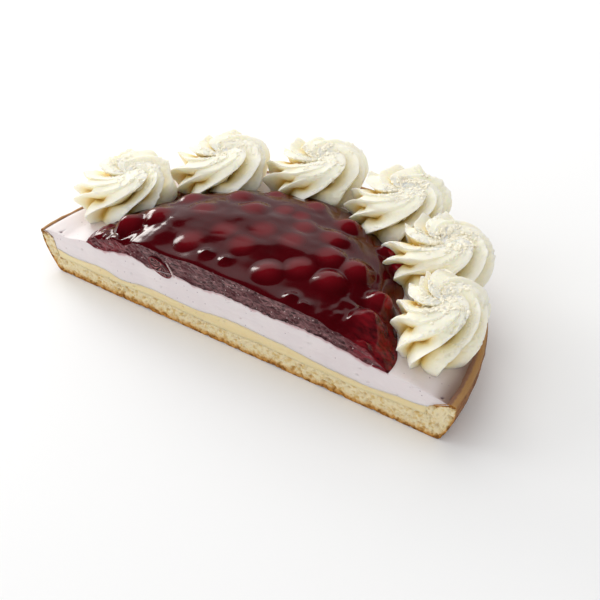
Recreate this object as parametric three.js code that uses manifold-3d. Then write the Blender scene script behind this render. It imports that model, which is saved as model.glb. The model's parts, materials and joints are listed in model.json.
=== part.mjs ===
// Half of a round cherry cream flan, cut along its diameter, in millimetres, +Z up.
// From the table up: a yeast dough crust, a layer of custard, a layer of whipped yoghurt cream,
// a mound of cherry jelly with whole cherries in it, and six piped cream rosettes with white flakes.
// The pieces are made round the centre of the whole flan, with the cut face on the plane y = 0,
// and the last lines move the origin to the centre of the underside.
import * as THREE from "three";
import { mergeVertices } from "three/addons/utils/BufferGeometryUtils.js";
import Module from "manifold-3d";

const wasm = await Module();
wasm.setup();

// ---- driving dimensions ----
const FLAN_RADIUS = 140;        // outer radius of the crust at its rim
const GAP = 0.3;                // room between pieces that touch
const CRUST_STEPS = 36;         // turns of the sweep round the half circle
const CUSTARD_STEPS = 18;
const CREAM_STEPS = 20;
const ROSETTE_RING = 116.5;     // radius of the circle that the rosettes stand on
const ROSETTE_RADIUS = 31;      // to the tips of the petals
const ROSETTE_HEIGHT = 27.5;    // above the cream
const ROSETTE_TURN = 2.3;       // how far a ridge winds from tip to centre, in radians
const CHERRY_TOP = 50.5;        // height of a cherry's crown above the table
const FLAKES_PER_ROSETTE = 8;

// Height lines on the cut face, as [x, z]. x runs along the cut from the flan's centre.
const BASE_TOP = [[-129, 11.5], [-90, 10.6], [-50, 11.6], [-10, 10.4], [30, 11.4], [80, 11], [128, 13.2]];
const CUSTARD_TOP = [
  [-129, 17.2], [-117, 15.8], [-90, 17.3], [-74, 14.6], [-50, 17.4], [-20, 16.6], [8, 19.2],
  [40, 18], [72, 15.3], [90, 15], [117, 17.4], [129, 19],
];
const CREAM_TOP = [
  [-136, 29.6], [-120, 29.4], [-98, 33.2], [-90, 31], [-62, 36.4], [-45, 33], [-28, 35],
  [-14, 33.2], [6, 35.4], [30, 34.2], [55, 35], [80, 32.3], [96, 29.6], [112, 28.6], [134, 26],
];
const JELLY_TOP = [
  [-100, 33.4], [-88, 38.6], [-72, 43.6], [-48, 47.4], [-18, 48], [12, 47.3], [40, 45.8],
  [62, 44.6], [76, 41.6], [90, 37.4], [104, 30.6],
];

// Cherries by the row that they lie in: [x, radius] of each, at y from the cut face.
const CHERRY_ROWS = [
  { y: 15, cherries: [[-75, 7.2], [-28, 7.4], [24, 7.2], [84, 7.2]] },
  { y: 26, cherries: [[-61, 7.4], [-1, 7.2], [36.5, 7.2], [55, 7.4]] },
  { y: 31, cherries: [[-17, 7], [81, 7]] },
  { y: 42, cherries: [[-41, 7.2], [1, 7.2], [20, 7.2], [44, 7], [60, 7.4]] },
  { y: 50, cherries: [[-58, 7.4]] },
  { y: 57, cherries: [[-17, 7.4], [17, 6.4], [36, 7]] },
  { y: 66, cherries: [[-34, 7.4], [-3, 5.8], [9, 5.2], [72, 6.2]] },
  { y: 75, cherries: [[34, 7.4], [61, 6.2]] },
  { y: 82, cherries: [[-21, 6.4], [8, 6.8]] },
];
const CUT_CHERRY = { x: -38, z: 35.5, radius: 7.6 };   // halved by the cut

// Rosettes from the left end of the cut to the right: the angle round the flan in degrees, the size
// against ROSETTE_RADIUS, how far each is pulled along the ring, its height against ROSETTE_HEIGHT,
// and its own turn in degrees.
const ROSETTES = [
  { angle: 158, size: 1.02, pull: 1.0, height: 0.98, turn: -8 },
  { angle: 128.4, size: 1.02, pull: 1.0, height: 1.0, turn: 4 },
  { angle: 98.2, size: 1.02, pull: 1.0, height: 1.0, turn: 9 },
  { angle: 67.5, size: 1.0, pull: 1.0, height: 1.0, turn: -12 },
  { angle: 41, size: 0.91, pull: 1.06, height: 0.98, turn: 3 },
  { angle: 16.2, size: 0.76, pull: 1.26, height: 1.0, turn: 0 },
];

// Petals of a rosette: the bearing of the tip in degrees, its reach, and how far it stands up by the
// height of the rosette. They stand close together where the piping starts.
const PETALS = [
  { tip: 40, reach: 0.97, lift: 0.08 },
  { tip: 98, reach: 0.98, lift: 0.24 },
  { tip: 127, reach: 1.06, lift: 0.24 },
  { tip: 156, reach: 1.1, lift: 0.12 },
  { tip: 186, reach: 1.02, lift: 0.04 },
  { tip: 224, reach: 0.96, lift: 0 },
  { tip: 263, reach: 1.02, lift: -0.02 },
  { tip: 303, reach: 1, lift: 0 },
  { tip: 344, reach: 0.95, lift: 0 },
];

// ---- small helpers ----
function seededRandom(seed) {
  let state = seed;
  return () => {
    state = (state * 1664525 + 1013904223) % 4294967296;
    return state / 4294967296;
  };
}

// A smooth curve through the points of a height line.
function heightAt(line, x) {
  const last = line.length - 1;
  if (x <= line[0][0]) return line[0][1];
  if (x >= line[last][0]) return line[last][1];
  let i = 0;
  while (x > line[i + 1][0]) i += 1;
  const t = (x - line[i][0]) / (line[i + 1][0] - line[i][0]);
  const ease = (1 - Math.cos(Math.PI * t)) / 2;
  return line[i][1] * (1 - ease) + line[i + 1][1] * ease;
}

// Carries a height line round the flan: its left half changes into its right half on the way.
function layerHeight(line, radius, angle) {
  const right = (1 + Math.cos(angle)) / 2;
  return heightAt(line, radius) * right + heightAt(line, -radius) * (1 - right);
}

function blend(left, right, angle) {
  const share = (1 + Math.cos(angle)) / 2;
  return left * (1 - share) + right * share;
}

function bodyFromTriangles(points, triangles) {
  const geometry = new THREE.BufferGeometry();
  geometry.setAttribute("position", new THREE.Float32BufferAttribute(points.flat(), 3));
  geometry.setIndex(triangles.flat());
  return geometry;
}

// Sweeps a section round half a turn and closes it with the flat cut face. sectionAt(angle) gives
// the section as [radius, z], from the axis at the bottom, outwards, and back to the axis on top.
function halfSweep(sectionAt, steps) {
  const points = [];
  const triangles = [];
  const rings = [];
  const first = sectionAt(0);
  const count = first.length;
  const bottom = points.push([0, 0, first[0][1]]) - 1;
  const top = points.push([0, 0, first[count - 1][1]]) - 1;
  for (let step = 0; step <= steps; step += 1) {
    const angle = (Math.PI * step) / steps;
    const ring = sectionAt(angle).slice(1, -1).map(([radius, z]) => {
      const flat = step === 0 || step === steps ? 0 : radius * Math.sin(angle);
      return points.push([radius * Math.cos(angle), flat, z]) - 1;
    });
    rings.push([bottom, ...ring, top]);
  }
  for (let step = 0; step < steps; step += 1) {
    const here = rings[step];
    const next = rings[step + 1];
    triangles.push([bottom, next[1], here[1]]);
    triangles.push([top, here[count - 2], next[count - 2]]);
    for (let i = 1; i < count - 2; i += 1) {
      const outwards = first[i + 1][0] >= first[i][0];
      if (outwards) triangles.push([here[i], next[i], next[i + 1]], [here[i], next[i + 1], here[i + 1]]);
      else triangles.push([here[i], next[i], here[i + 1]], [next[i], next[i + 1], here[i + 1]]);
    }
  }
  const outline = [...rings[0], ...rings[steps].slice(1, -1).reverse()];
  const flatOutline = outline.map((index) => new THREE.Vector2(points[index][0], points[index][2]));
  for (const [a, b, c] of THREE.ShapeUtils.triangulateShape(flatOutline, [])) {
    triangles.push([outline[a], outline[b], outline[c]]);
  }
  return bodyFromTriangles(points, triangles);
}

// ---- manifold-3d: joining and cutting ----
function toManifold(geometry, matrix = new THREE.Matrix4()) {
  let body = geometry.clone().applyMatrix4(matrix);
  body.deleteAttribute("normal");
  body.deleteAttribute("uv");
  body = mergeVertices(body, 1e-4);
  const mesh = new wasm.Mesh({
    numProp: 3,
    vertProperties: new Float32Array(body.getAttribute("position").array),
    triVerts: new Uint32Array(body.getIndex().array),
  });
  return new wasm.Manifold(mesh);
}

function toGeometry(solid) {
  const mesh = solid.getMesh();
  const geometry = new THREE.BufferGeometry();
  geometry.setAttribute("position", new THREE.BufferAttribute(mesh.vertProperties.slice(), 3));
  geometry.setIndex(new THREE.BufferAttribute(mesh.triVerts.slice(), 1));
  return geometry;
}

// What a cut leaves loose is dropped.
function largestBody(solid) {
  return solid.decompose().reduce((best, body) => (body.volume() > best.volume() ? body : best));
}

// ---- crust: base and wall in one, thin walled at the left end of the cut, thick at the right ----
const RIM_CROWN = 0.3;          // how far the inner edge of the rim stands above the outer one
const rimHeight = (angle) => blend(28.6, 25.6, angle);
const wallTop = (angle) => FLAN_RADIUS - blend(6.2, 7, angle);
const wallShoulder = (angle) => FLAN_RADIUS - blend(10.4, 11, angle);
const wallFoot = (angle) => FLAN_RADIUS - blend(11, 15.5, angle);

function spaced(from, to, count) {
  return Array.from({ length: count + 1 }, (_, i) => from + ((to - from) * i) / count);
}

function crustSection(angle) {
  const rim = rimHeight(angle);
  const outside = [[128.4, 0], [132, 1], [134.8, 4.6], [137, 9.8], [138.9, 15], [FLAN_RADIUS, 21]];
  const crown = [[FLAN_RADIUS - 0.3, rim - 1.2], [FLAN_RADIUS - 1.8, rim], [wallTop(angle), rim + RIM_CROWN]];
  const inside = [[wallShoulder(angle), rim - 3.6], [wallFoot(angle), 18]];
  const floor = spaced(wallFoot(angle) - 0.6, 0, 9).map((r) => [r, layerHeight(BASE_TOP, r, angle)]);
  return [[0, 0], [64, 0], ...outside, ...crown, ...inside, ...floor];
}

// ---- custard ----
function custardSection(angle) {
  const edge = wallFoot(angle) - GAP;
  const floor = spaced(0, edge - 0.6, 8).map((r) => [r, layerHeight(BASE_TOP, r, angle) + GAP]);
  const top = spaced(edge, 0, 10).map((r) => [r, layerHeight(CUSTARD_TOP, r, angle)]);
  return [...floor, ...top];
}

// ---- cream layer: its top lies under the jelly as far as jellyEdge, then runs out to the rim ----
const jellyEdge = (angle) => blend(99.5, 104, angle) + 3.2 * Math.sin(angle) + 0.8 * Math.sin(9 * angle);
const jellyStations = [0.12, 0.25, 0.38, 0.5, 0.62, 0.73, 0.83, 0.92, 1];

function creamTopStations(angle) {
  const edge = jellyEdge(angle);
  const outer = wallTop(angle) - GAP;
  const open = [0.35, 0.7, 1].map((share) => edge + (outer - edge) * share);
  return [...jellyStations.map((share) => share * edge), ...open];
}

function creamSection(angle) {
  const rim = rimHeight(angle);
  const foot = wallFoot(angle) - GAP;
  const floor = spaced(0, foot, 10).map((r) => [r, layerHeight(CUSTARD_TOP, r, angle) + GAP]);
  const side = [[wallShoulder(angle) - GAP, rim - 3.4]];
  const top = creamTopStations(angle).reverse().map((r) => [r, layerHeight(CREAM_TOP, r, angle)]);
  return [...floor, ...side, ...top, [0, layerHeight(CREAM_TOP, 0, angle)]];
}

// ---- cherry jelly: a mound on the cream with a thin edge ----
const JELLY_EDGE_THICKNESS = 0.7;

function jellyHeight(radius, angle) {
  const onCream = layerHeight(CREAM_TOP, radius, angle) + GAP + JELLY_EDGE_THICKNESS;
  const stretch = blend(99.5, 104, angle) / jellyEdge(angle);
  return Math.max(onCream, layerHeight(JELLY_TOP, radius * stretch, angle));
}

function jellySection(angle) {
  const radii = jellyStations.map((share) => share * jellyEdge(angle));
  const floor = radii.map((r) => [r, layerHeight(CREAM_TOP, r, angle) + GAP]);
  const top = radii.map((r) => [r, jellyHeight(r, angle)]).reverse();
  const centreFloor = [0, layerHeight(CREAM_TOP, 0, angle) + GAP];
  return [centreFloor, ...floor, ...top, [0, jellyHeight(0, angle)]];
}

// ---- what a rosette stands on: jelly, cream and rim, raised by the gap ----
const SUPPORT_RADIUS = FLAN_RADIUS + 16;        // past the petals that hang over the rim
const SUPPORT_FLOOR = 4;

function supportSection(angle) {
  const edge = jellyEdge(angle);
  const inner = jellyStations.slice(4).map((share) => share * edge);
  const onJelly = inner.map((r) => [r, jellyHeight(r, angle) + GAP]);
  const onCream = creamTopStations(angle).slice(-3).map((r) => [r, layerHeight(CREAM_TOP, r, angle) + GAP]);
  const rim = rimHeight(angle) + RIM_CROWN + GAP;
  const top = [...onJelly, ...onCream, [wallTop(angle), rim], [SUPPORT_RADIUS, rim]].reverse();
  return [[0, SUPPORT_FLOOR], [SUPPORT_RADIUS, SUPPORT_FLOOR], ...top, [0, jellyHeight(0, angle) + GAP]];
}

// ---- cherries ----
const SHOWING_SHARE = 0.42;     // how far a cherry's middle lies under the jelly's top, by its radius
const CHERRY_BED = 0.5;         // jelly left under a cherry

// The sunk half of a cherry has fewer rings than the half that shows.
const CHERRY_RINGS = [-35, 5, 38, 66];
const CHERRY_SIDES = 8;

function cherryGeometry(radius) {
  const around = CHERRY_RINGS.map((degrees) => {
    const lift = THREE.MathUtils.degToRad(degrees);
    return new THREE.Vector2(radius * Math.cos(lift), radius * Math.sin(lift));
  });
  const profile = [new THREE.Vector2(0, -radius), ...around, new THREE.Vector2(0, radius)];
  const geometry = new THREE.LatheGeometry(profile, CHERRY_SIDES);
  geometry.rotateX(Math.PI / 2);
  return geometry;
}

function placedCherry(x, y, z, radius, grow = 0) {
  const place = new THREE.Matrix4().makeTranslation(x, y, z);
  return toManifold(cherryGeometry(radius + grow), place);
}

// A cherry is sunk in the jelly as far as the cream below it allows.
function cherryHeight(x, y, radius) {
  const fromAxis = Math.hypot(x, y);
  const angle = Math.atan2(y, x);
  const sunk = jellyHeight(fromAxis, angle) - SHOWING_SHARE * radius;
  const onCream = layerHeight(CREAM_TOP, fromAxis, angle) + GAP + CHERRY_BED + radius;
  return Math.max(Math.min(CHERRY_TOP - radius, sunk), onCream);
}

// ---- rosettes ----
// Rings from the hidden foot over the petal tips to the middle of the top, as shares of the radius,
// height, depth of the valleys and turn.
const ROSETTE_RINGS = [
  { r: 0.64, z: -0.3, valley: 0.05, turn: 0 },
  { r: 0.88, z: 0.06, valley: 0.24, turn: 0 },
  { r: 1.0, z: 0.36, valley: 0.44, turn: 0.04 },
  { r: 0.96, z: 0.62, valley: 0.46, turn: 0.13 },
  { r: 0.81, z: 0.83, valley: 0.4, turn: 0.3 },
  { r: 0.58, z: 0.94, valley: 0.29, turn: 0.54 },
  { r: 0.34, z: 0.95, valley: 0.16, turn: 0.81 },
  { r: 0.12, z: 0.9, valley: 0.04, turn: 1 },
];
const RIDGE_SAMPLES = [-1, -0.5, 0, 0.5];       // valley, rising flank, crest, falling flank
const PETAL_ROUNDNESS = 1.6;    // 1 is a sharp ridge, 2 a round one
const FULL_VALLEY = 40;         // degrees between two tips where the valley has its full depth
const VALLEY_SAG = 0.62;        // how far a valley lies below its crests on top, by its depth
const CROWN_SHIFT = new THREE.Vector2(3, 2.4);  // the crown lies off the middle
const PEAK_HEIGHT = 0.88;

// The columns of points round a rosette, four to a petal.
function petalColumns() {
  const count = PETALS.length;
  return PETALS.flatMap((petal, index) => {
    const gap = (PETALS[(index + 1) % count].tip - petal.tip + 360) % 360;
    const before = (petal.tip - PETALS[(index + count - 1) % count].tip + 360) % 360;
    const crestAt = before / (before + gap);
    return RIDGE_SAMPLES.map((across) => {
      const share = crestAt + across * (across < 0 ? crestAt : 1 - crestAt);
      const spacing = before * (1 - share) + gap * share;
      return {
        bearing: petal.tip + ((share - crestAt) * (before + gap)) / 2,
        crest: 1 - Math.abs(across) ** PETAL_ROUNDNESS,
        depth: THREE.MathUtils.clamp(spacing / FULL_VALLEY, 0.7, 1.15),
        reach: petal.reach,
        lift: petal.lift,
      };
    });
  });
}

// The crown's shift in the rosette's own frame, which is turned by its angle round the flan.
function crownShift(rosette) {
  const turned = -THREE.MathUtils.degToRad(rosette.angle);
  return CROWN_SHIFT.clone().multiplyScalar(rosette.size).rotateAround(new THREE.Vector2(), turned);
}

function rosetteGeometry(rosette) {
  const columns = petalColumns();
  const count = columns.length;
  const radius = ROSETTE_RADIUS * rosette.size;
  const height = ROSETTE_HEIGHT * rosette.height;
  const shift = crownShift(rosette);
  const { smoothstep, degToRad } = THREE.MathUtils;
  const points = [];
  for (const ring of ROSETTE_RINGS) {
    const shifted = smoothstep(ring.z, 0, 0.9);
    const raised = smoothstep(ring.z, 0.1, 0.4) * (1 - smoothstep(ring.z, 0.6, 0.95));
    const sagged = smoothstep(ring.z, 0.45, 0.75) * VALLEY_SAG;
    for (const column of columns) {
      const angle = degToRad(column.bearing + rosette.turn - rosette.angle) + ROSETTE_TURN * ring.turn;
      const valley = ring.valley * column.depth * (1 - column.crest);
      const out = radius * (ring.r * (1 + (column.reach - 1) * column.crest) - valley);
      const x = out * Math.cos(angle) + shift.x * shifted;
      const y = out * Math.sin(angle) * rosette.pull + shift.y * shifted;
      points.push([x, y, height * (ring.z + column.lift * column.crest * raised - sagged * valley)]);
    }
  }
  const foot = points.push([0, 0, height * ROSETTE_RINGS[0].z]) - 1;
  const peak = points.push([shift.x, shift.y, height * PEAK_HEIGHT]) - 1;
  const triangles = [];
  const lastRing = (ROSETTE_RINGS.length - 1) * count;
  for (let column = 0; column < count; column += 1) {
    const next = (column + 1) % count;
    triangles.push([foot, next, column], [peak, lastRing + column, lastRing + next]);
    for (let ring = 0; ring < ROSETTE_RINGS.length - 1; ring += 1) {
      const low = ring * count;
      const high = low + count;
      triangles.push([low + column, low + next, high + next], [low + column, high + next, high + column]);
    }
  }
  return bodyFromTriangles(points, triangles);
}

// White flakes lie scattered on the crown of a rosette, each half sunk in the cream.
const FLAKE_SIZES = [1.5, 2.4];
const FLAKE_SHAPE = [1.2, 0.9, 0.75];
const FLAKE_BEARING = 2.4;      // radians from one flake to the next
const FLAKE_REACH = [0.06, 0.4];                // from the innermost to the outermost, by the radius
const FLAKE_HEIGHT = 0.93;

function flakeSolids(rosette, seed) {
  const random = seededRandom(seed);
  const shift = crownShift(rosette);
  const { lerp } = THREE.MathUtils;
  const flakes = [];
  for (let i = 0; i < FLAKES_PER_ROSETTE; i += 1) {
    const bearing = FLAKE_BEARING * i + random();
    const reach = ROSETTE_RADIUS * rosette.size * lerp(...FLAKE_REACH, Math.sqrt(i / FLAKES_PER_ROSETTE));
    const flake = new THREE.TetrahedronGeometry(lerp(...FLAKE_SIZES, random()));
    flake.scale(...FLAKE_SHAPE);
    const turn = new THREE.Euler(random() * Math.PI, random() * Math.PI, random() * 2 * Math.PI);
    const place = new THREE.Matrix4().makeRotationFromEuler(turn);
    const height = ROSETTE_HEIGHT * rosette.height * FLAKE_HEIGHT;
    place.setPosition(reach * Math.cos(bearing) + shift.x, reach * Math.sin(bearing) + shift.y, height);
    flakes.push(toManifold(flake, place));
  }
  return flakes;
}

function rosetteCentre(rosette) {
  const angle = THREE.MathUtils.degToRad(rosette.angle);
  const z = layerHeight(CREAM_TOP, ROSETTE_RING, angle);
  return new THREE.Vector3(ROSETTE_RING * Math.cos(angle), ROSETTE_RING * Math.sin(angle), z);
}

const BLOCK_LENGTH = 60;        // longer than a rosette's radius

// A block that takes away what lies past the middle between two neighbouring rosettes.
function neighbourBlock(centre, neighbour, ownSize, otherSize) {
  const apart = new THREE.Vector3().subVectors(neighbour, centre).setZ(0);
  const distance = apart.length();
  const bearing = Math.atan2(apart.y, apart.x);
  const block = new THREE.BoxGeometry(BLOCK_LENGTH, 2 * BLOCK_LENGTH, 2 * BLOCK_LENGTH);
  const start = (distance * ownSize) / (ownSize + otherSize) - GAP / 2;
  block.translate(start + BLOCK_LENGTH / 2, 0, 0);
  const place = new THREE.Matrix4().makeRotationZ(bearing).setPosition(centre.x, centre.y, centre.z);
  return toManifold(block, place);
}

function makeRosette(index, obstacles) {
  const rosette = ROSETTES[index];
  const centre = rosetteCentre(rosette);
  const place = new THREE.Matrix4().makeRotationZ(THREE.MathUtils.degToRad(rosette.angle));
  place.setPosition(centre);
  let solid = toManifold(rosetteGeometry(rosette));
  for (const flake of flakeSolids(rosette, index + 1)) solid = solid.add(flake);
  solid = solid.transform(place.elements);
  for (const other of [index - 1, index + 1]) {
    if (!ROSETTES[other]) continue;
    const neighbour = rosetteCentre(ROSETTES[other]);
    const sizes = [rosette.size * rosette.pull, ROSETTES[other].size * ROSETTES[other].pull];
    solid = solid.subtract(neighbourBlock(centre, neighbour, ...sizes));
  }
  for (const obstacle of obstacles) solid = solid.subtract(obstacle);
  return toGeometry(largestBody(solid));
}

// ---- materials ----
const looks = {
  crust: { color: "#b9783c", roughness: 0.85 },
  custard: { color: "#ecd38c", roughness: 0.5 },
  cream: { color: "#dcd0d6", roughness: 0.55 },
  jelly: { color: "#5c0d18", roughness: 0.12 },
  cherry: { color: "#7a0f1c", roughness: 0.2 },
  rosette: { color: "#f4efdc", roughness: 0.6 },
};

function addPiece(group, name, geometry, look) {
  const material = new THREE.MeshStandardMaterial({ ...looks[look], metalness: 0 });
  const mesh = new THREE.Mesh(geometry, material);
  mesh.name = name;
  group.add(mesh);
  return mesh;
}

// ---- assembly ----
const flan = new THREE.Group();
addPiece(flan, "crust", halfSweep(crustSection, CRUST_STEPS), "crust");
addPiece(flan, "custard", halfSweep(custardSection, CUSTARD_STEPS), "custard");

const inFrontOfCut = new THREE.Matrix4().makeTranslation(CUT_CHERRY.x, -BLOCK_LENGTH / 2, CUT_CHERRY.z);
const frontBlock = toManifold(new THREE.BoxGeometry(BLOCK_LENGTH, BLOCK_LENGTH, BLOCK_LENGTH), inFrontOfCut);
const cutCherry = placedCherry(CUT_CHERRY.x, 0, CUT_CHERRY.z, CUT_CHERRY.radius).subtract(frontBlock);
const cutHole = placedCherry(CUT_CHERRY.x, 0, CUT_CHERRY.z, CUT_CHERRY.radius, GAP);
let cream = toManifold(halfSweep(creamSection, CREAM_STEPS)).subtract(cutHole);
let jelly = toManifold(halfSweep(jellySection, CREAM_STEPS)).subtract(cutHole);
const cherries = [cutCherry];
const holes = [];
for (const row of CHERRY_ROWS) {
  for (const [x, radius] of row.cherries) {
    const z = cherryHeight(x, row.y, radius);
    const hole = placedCherry(x, row.y, z, radius, GAP);
    cream = cream.subtract(hole);
    jelly = jelly.subtract(hole);
    holes.push(hole);
    cherries.push(placedCherry(x, row.y, z, radius));
  }
}
addPiece(flan, "cream_layer", toGeometry(cream), "cream");
addPiece(flan, "cherry_jelly", toGeometry(jelly), "jelly");
cherries.forEach((cherry, index) => {
  addPiece(flan, `cherry_${String(index + 1).padStart(2, "0")}`, toGeometry(cherry), "cherry");
});

const support = toManifold(halfSweep(supportSection, CREAM_STEPS));
ROSETTES.forEach((_, index) => {
  addPiece(flan, `rosette_${index + 1}`, makeRosette(index, [support, ...holes]), "rosette");
});

const box = new THREE.Box3().setFromObject(flan);
flan.position.set(-(box.min.x + box.max.x) / 2, -(box.min.y + box.max.y) / 2, -box.min.z);

const group = new THREE.Group();
group.add(flan);

export default group;
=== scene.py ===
"""Half of a round cherry cream flan: crust, custard, yoghurt cream, cherry jelly with whole cherries,
six piped rosettes of whipped cream and the white flakes on them.

The file is laid out as an add-on and run as a script. Sizes inside the functions are in millimetres
from the centre of the whole flan, with the cut face on y = 0; place() takes them to the frame.
"""
import json
import math

import bpy
import numpy as np
from mathutils import Matrix, Vector

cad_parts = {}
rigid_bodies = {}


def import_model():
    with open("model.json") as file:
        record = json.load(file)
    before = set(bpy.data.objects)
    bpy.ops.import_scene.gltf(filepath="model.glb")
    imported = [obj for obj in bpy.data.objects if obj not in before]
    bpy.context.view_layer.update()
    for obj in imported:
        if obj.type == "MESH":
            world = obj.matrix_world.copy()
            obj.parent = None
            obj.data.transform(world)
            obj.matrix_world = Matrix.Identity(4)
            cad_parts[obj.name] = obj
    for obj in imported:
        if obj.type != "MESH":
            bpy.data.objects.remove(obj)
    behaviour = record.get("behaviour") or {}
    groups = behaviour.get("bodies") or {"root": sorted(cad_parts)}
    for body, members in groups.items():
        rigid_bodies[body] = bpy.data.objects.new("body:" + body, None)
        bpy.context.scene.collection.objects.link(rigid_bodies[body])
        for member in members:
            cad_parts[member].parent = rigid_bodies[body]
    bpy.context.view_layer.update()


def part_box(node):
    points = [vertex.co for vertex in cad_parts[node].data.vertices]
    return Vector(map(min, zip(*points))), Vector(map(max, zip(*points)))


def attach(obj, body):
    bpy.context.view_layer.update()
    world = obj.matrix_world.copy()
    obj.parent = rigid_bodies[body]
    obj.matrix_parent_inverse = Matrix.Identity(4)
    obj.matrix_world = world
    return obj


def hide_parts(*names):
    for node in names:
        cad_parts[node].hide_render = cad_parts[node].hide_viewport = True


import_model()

bl_info = {
    "name": "Cherry cream flan",
    "version": (1, 0, 0),
    "blender": (4, 5, 0),
    "location": "3D View > Sidebar > Flan",
    "description": "Builds the layers, cherries and piped cream of a cut cherry cream flan",
    "category": "Object",
}

# ---- sizes taken from the frame ----
MM = 0.001
CRUST_LOW, CRUST_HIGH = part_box("crust")
FLAN_RADIUS = (CRUST_HIGH.x - CRUST_LOW.x) / 2 / MM
CUT_FACE_Y = CRUST_LOW.y / MM
WHOLE_CHERRIES = [f"cherry_{number:02d}" for number in range(2, 29)]

# ---- height lines on the cut face, as (x, z), x from the flan's centre ----
BASE_TOP = [(-129, 11.5), (-90, 10.6), (-50, 11.6), (-10, 10.4), (30, 11.4), (80, 11), (128, 13.2)]
CUSTARD_TOP = [
    (-129, 17.2), (-117, 15.8), (-90, 17.3), (-74, 14.6), (-50, 17.4), (-20, 16.6), (8, 19.2),
    (40, 18), (72, 15.3), (90, 15), (117, 17.4), (129, 19),
]
CREAM_TOP = [
    (-136, 29.6), (-120, 29.4), (-98, 33.2), (-90, 31), (-62, 36.4), (-45, 33), (-28, 35),
    (-14, 33.2), (6, 35.4), (30, 34.2), (55, 35), (80, 32.3), (96, 29.6), (112, 28.6), (134, 26),
]
JELLY_TOP = [
    (-100, 33.4), (-88, 38.6), (-72, 43.6), (-48, 47.4), (-18, 48), (12, 47.3), (40, 45.8),
    (62, 44.6), (76, 41.6), (90, 37.4), (104, 30.6),
]
LAYER_LAP = 0.06            # how far a layer reaches into the one below it
EDGE_SOFTNESS = 0.5         # rounding where a top surface meets the cut
# How many rows of points each layer's cut face has.
CRUST_ROWS, CUSTARD_ROWS, CREAM_ROWS, JELLY_ROWS = 22, 14, 26, 28

# ---- rosettes, left to right: degrees round the flan, size, pull along the ring, height, own turn ----
ROSETTES = [
    (158, 1.02, 1.0, 0.98, -8),
    (128.4, 1.02, 1.0, 1.0, 4),
    (98.2, 1.02, 1.0, 1.0, 9),
    (67.5, 1.0, 1.0, 1.0, -12),
    (41, 0.91, 1.06, 0.98, 3),
    (16.2, 0.76, 1.26, 1.0, 0),
]
ROSETTE_RING = 116.5        # radius of the ring that they stand on
ROSETTE_TURN = 2.3          # how far the bands wind round from foot to crown, in radians
PETAL_TIPS = [40, 98, 127, 153, 179, 204, 231, 264, 304, 345]   # bearings of the petals' tips, in degrees
PETAL_REACH = [0.98, 1, 1.06, 1.1, 1.07, 1.04, 0.98, 1.02, 1, 0.95]
PETAL_LIFT = [0.08, 0.24, 0.24, 0.15, 0.1, 0.05, 0, -0.02, 0, 0]    # how far a tip stands up, by height
COLUMNS_TO_A_PETAL = 46
CROWN_SHIFT = (3, 2.4)      # the crown lies off the middle
SWEEP_CHANGE = 0.3          # the bands sweep further round on one side, by the mean sweep
SWEEP_BEARING = 300         # where that side is, in degrees
TIP_SCATTER = 0.16          # how unevenly the tips stand, in radians
VALLEY_AT = 0.26            # where the valley lies between two tips
VALLEY_FADE = [1, 0, 1, 0, 1, 1, 1, 0, 1, 0]    # 1 where the valley after a tip runs out halfway in
TIP_HEIGHT = 0.4            # where a narrow petal reaches out furthest, by the rosette's height
POINTEDNESS = 0.09          # how much it draws in above and below that, by the radius
FLAKE_SHARE = [0.3, 0.4, 0.7, 1, 1, 0.9]        # how thickly each rosette is strewn
POROUS_SHARE = [0.2, 0.2, 0.2, 0.5, 0.3, 1]     # how porous the cream is on the right side of each
FULL_VALLEY = 40            # degrees between two tips where the valley has its full depth
# Rings from the hidden foot over the petal tips to the crown: radius, height, valley depth, turn.
ROSETTE_RINGS = [
    (0.64, -0.3, 0.05, 0),
    (0.88, 0.06, 0.24, 0),
    (1.0, 0.36, 0.44, 0.04),
    (0.96, 0.62, 0.46, 0.13),
    (0.81, 0.83, 0.4, 0.3),
    (0.58, 0.94, 0.29, 0.54),
    (0.34, 0.95, 0.16, 0.81),
    (0.12, 0.9, 0.04, 1),
]


# ---- small helpers ----
LARGEST_CODE = 0xFFFFFFFF   # cell_number works in whole numbers up to this
WELD_STEPS = 5000           # weld joins points that round to the same of so many steps to a mm


def linear(hex_colour):
    """The linear colour of an sRGB hex value."""
    values = [int(hex_colour[i:i + 2], 16) / 255 for i in (1, 3, 5)]
    return tuple(v / 12.92 if v <= 0.04045 else ((v + 0.055) / 1.055) ** 2.4 for v in values)


def solid(hex_colour):
    """The linear colour of an sRGB hex value, with alpha."""
    return (*linear(hex_colour), 1.0)


def mixed(colour, hex_colour, share):
    """A linear colour taken towards an sRGB hex value, with alpha."""
    return (*(a * (1 - share) + b * share for a, b in zip(colour, linear(hex_colour))), 1.0)


def place(points):
    """Takes points in mm round the flan's centre to the frame's metres."""
    return (np.asarray(points, float) + np.array([0, CUT_FACE_Y, 0])) * MM


def smoothstep(value, low, high):
    """0 at low, 1 at high and a soft step between them."""
    share = np.clip((value - low) / (high - low), 0, 1)
    return share * share * (3 - 2 * share)


def height_along(line, x):
    """A smooth curve through the points of a height line."""
    xs, zs = np.array(line, float).T
    index = np.clip(np.searchsorted(xs, x) - 1, 0, len(xs) - 2)
    share = np.clip((x - xs[index]) / (xs[index + 1] - xs[index]), 0, 1)
    ease = (1 - np.cos(math.pi * share)) / 2
    return zs[index] * (1 - ease) + zs[index + 1] * ease


def blend(left, right, angle):
    """A value that changes from the flan's left end to its right end."""
    share = (1 + np.cos(angle)) / 2
    return left * (1 - share) + right * share


def carried(line, radius, angle):
    """A height line carried round the flan, its left half changing into its right half."""
    return blend(height_along(line, -radius), height_along(line, radius), angle)


def round_centre(points):
    """Radius and angle of points round the flan's centre."""
    return np.hypot(points[..., 0], points[..., 1]), np.arctan2(points[..., 1], points[..., 0])


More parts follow.
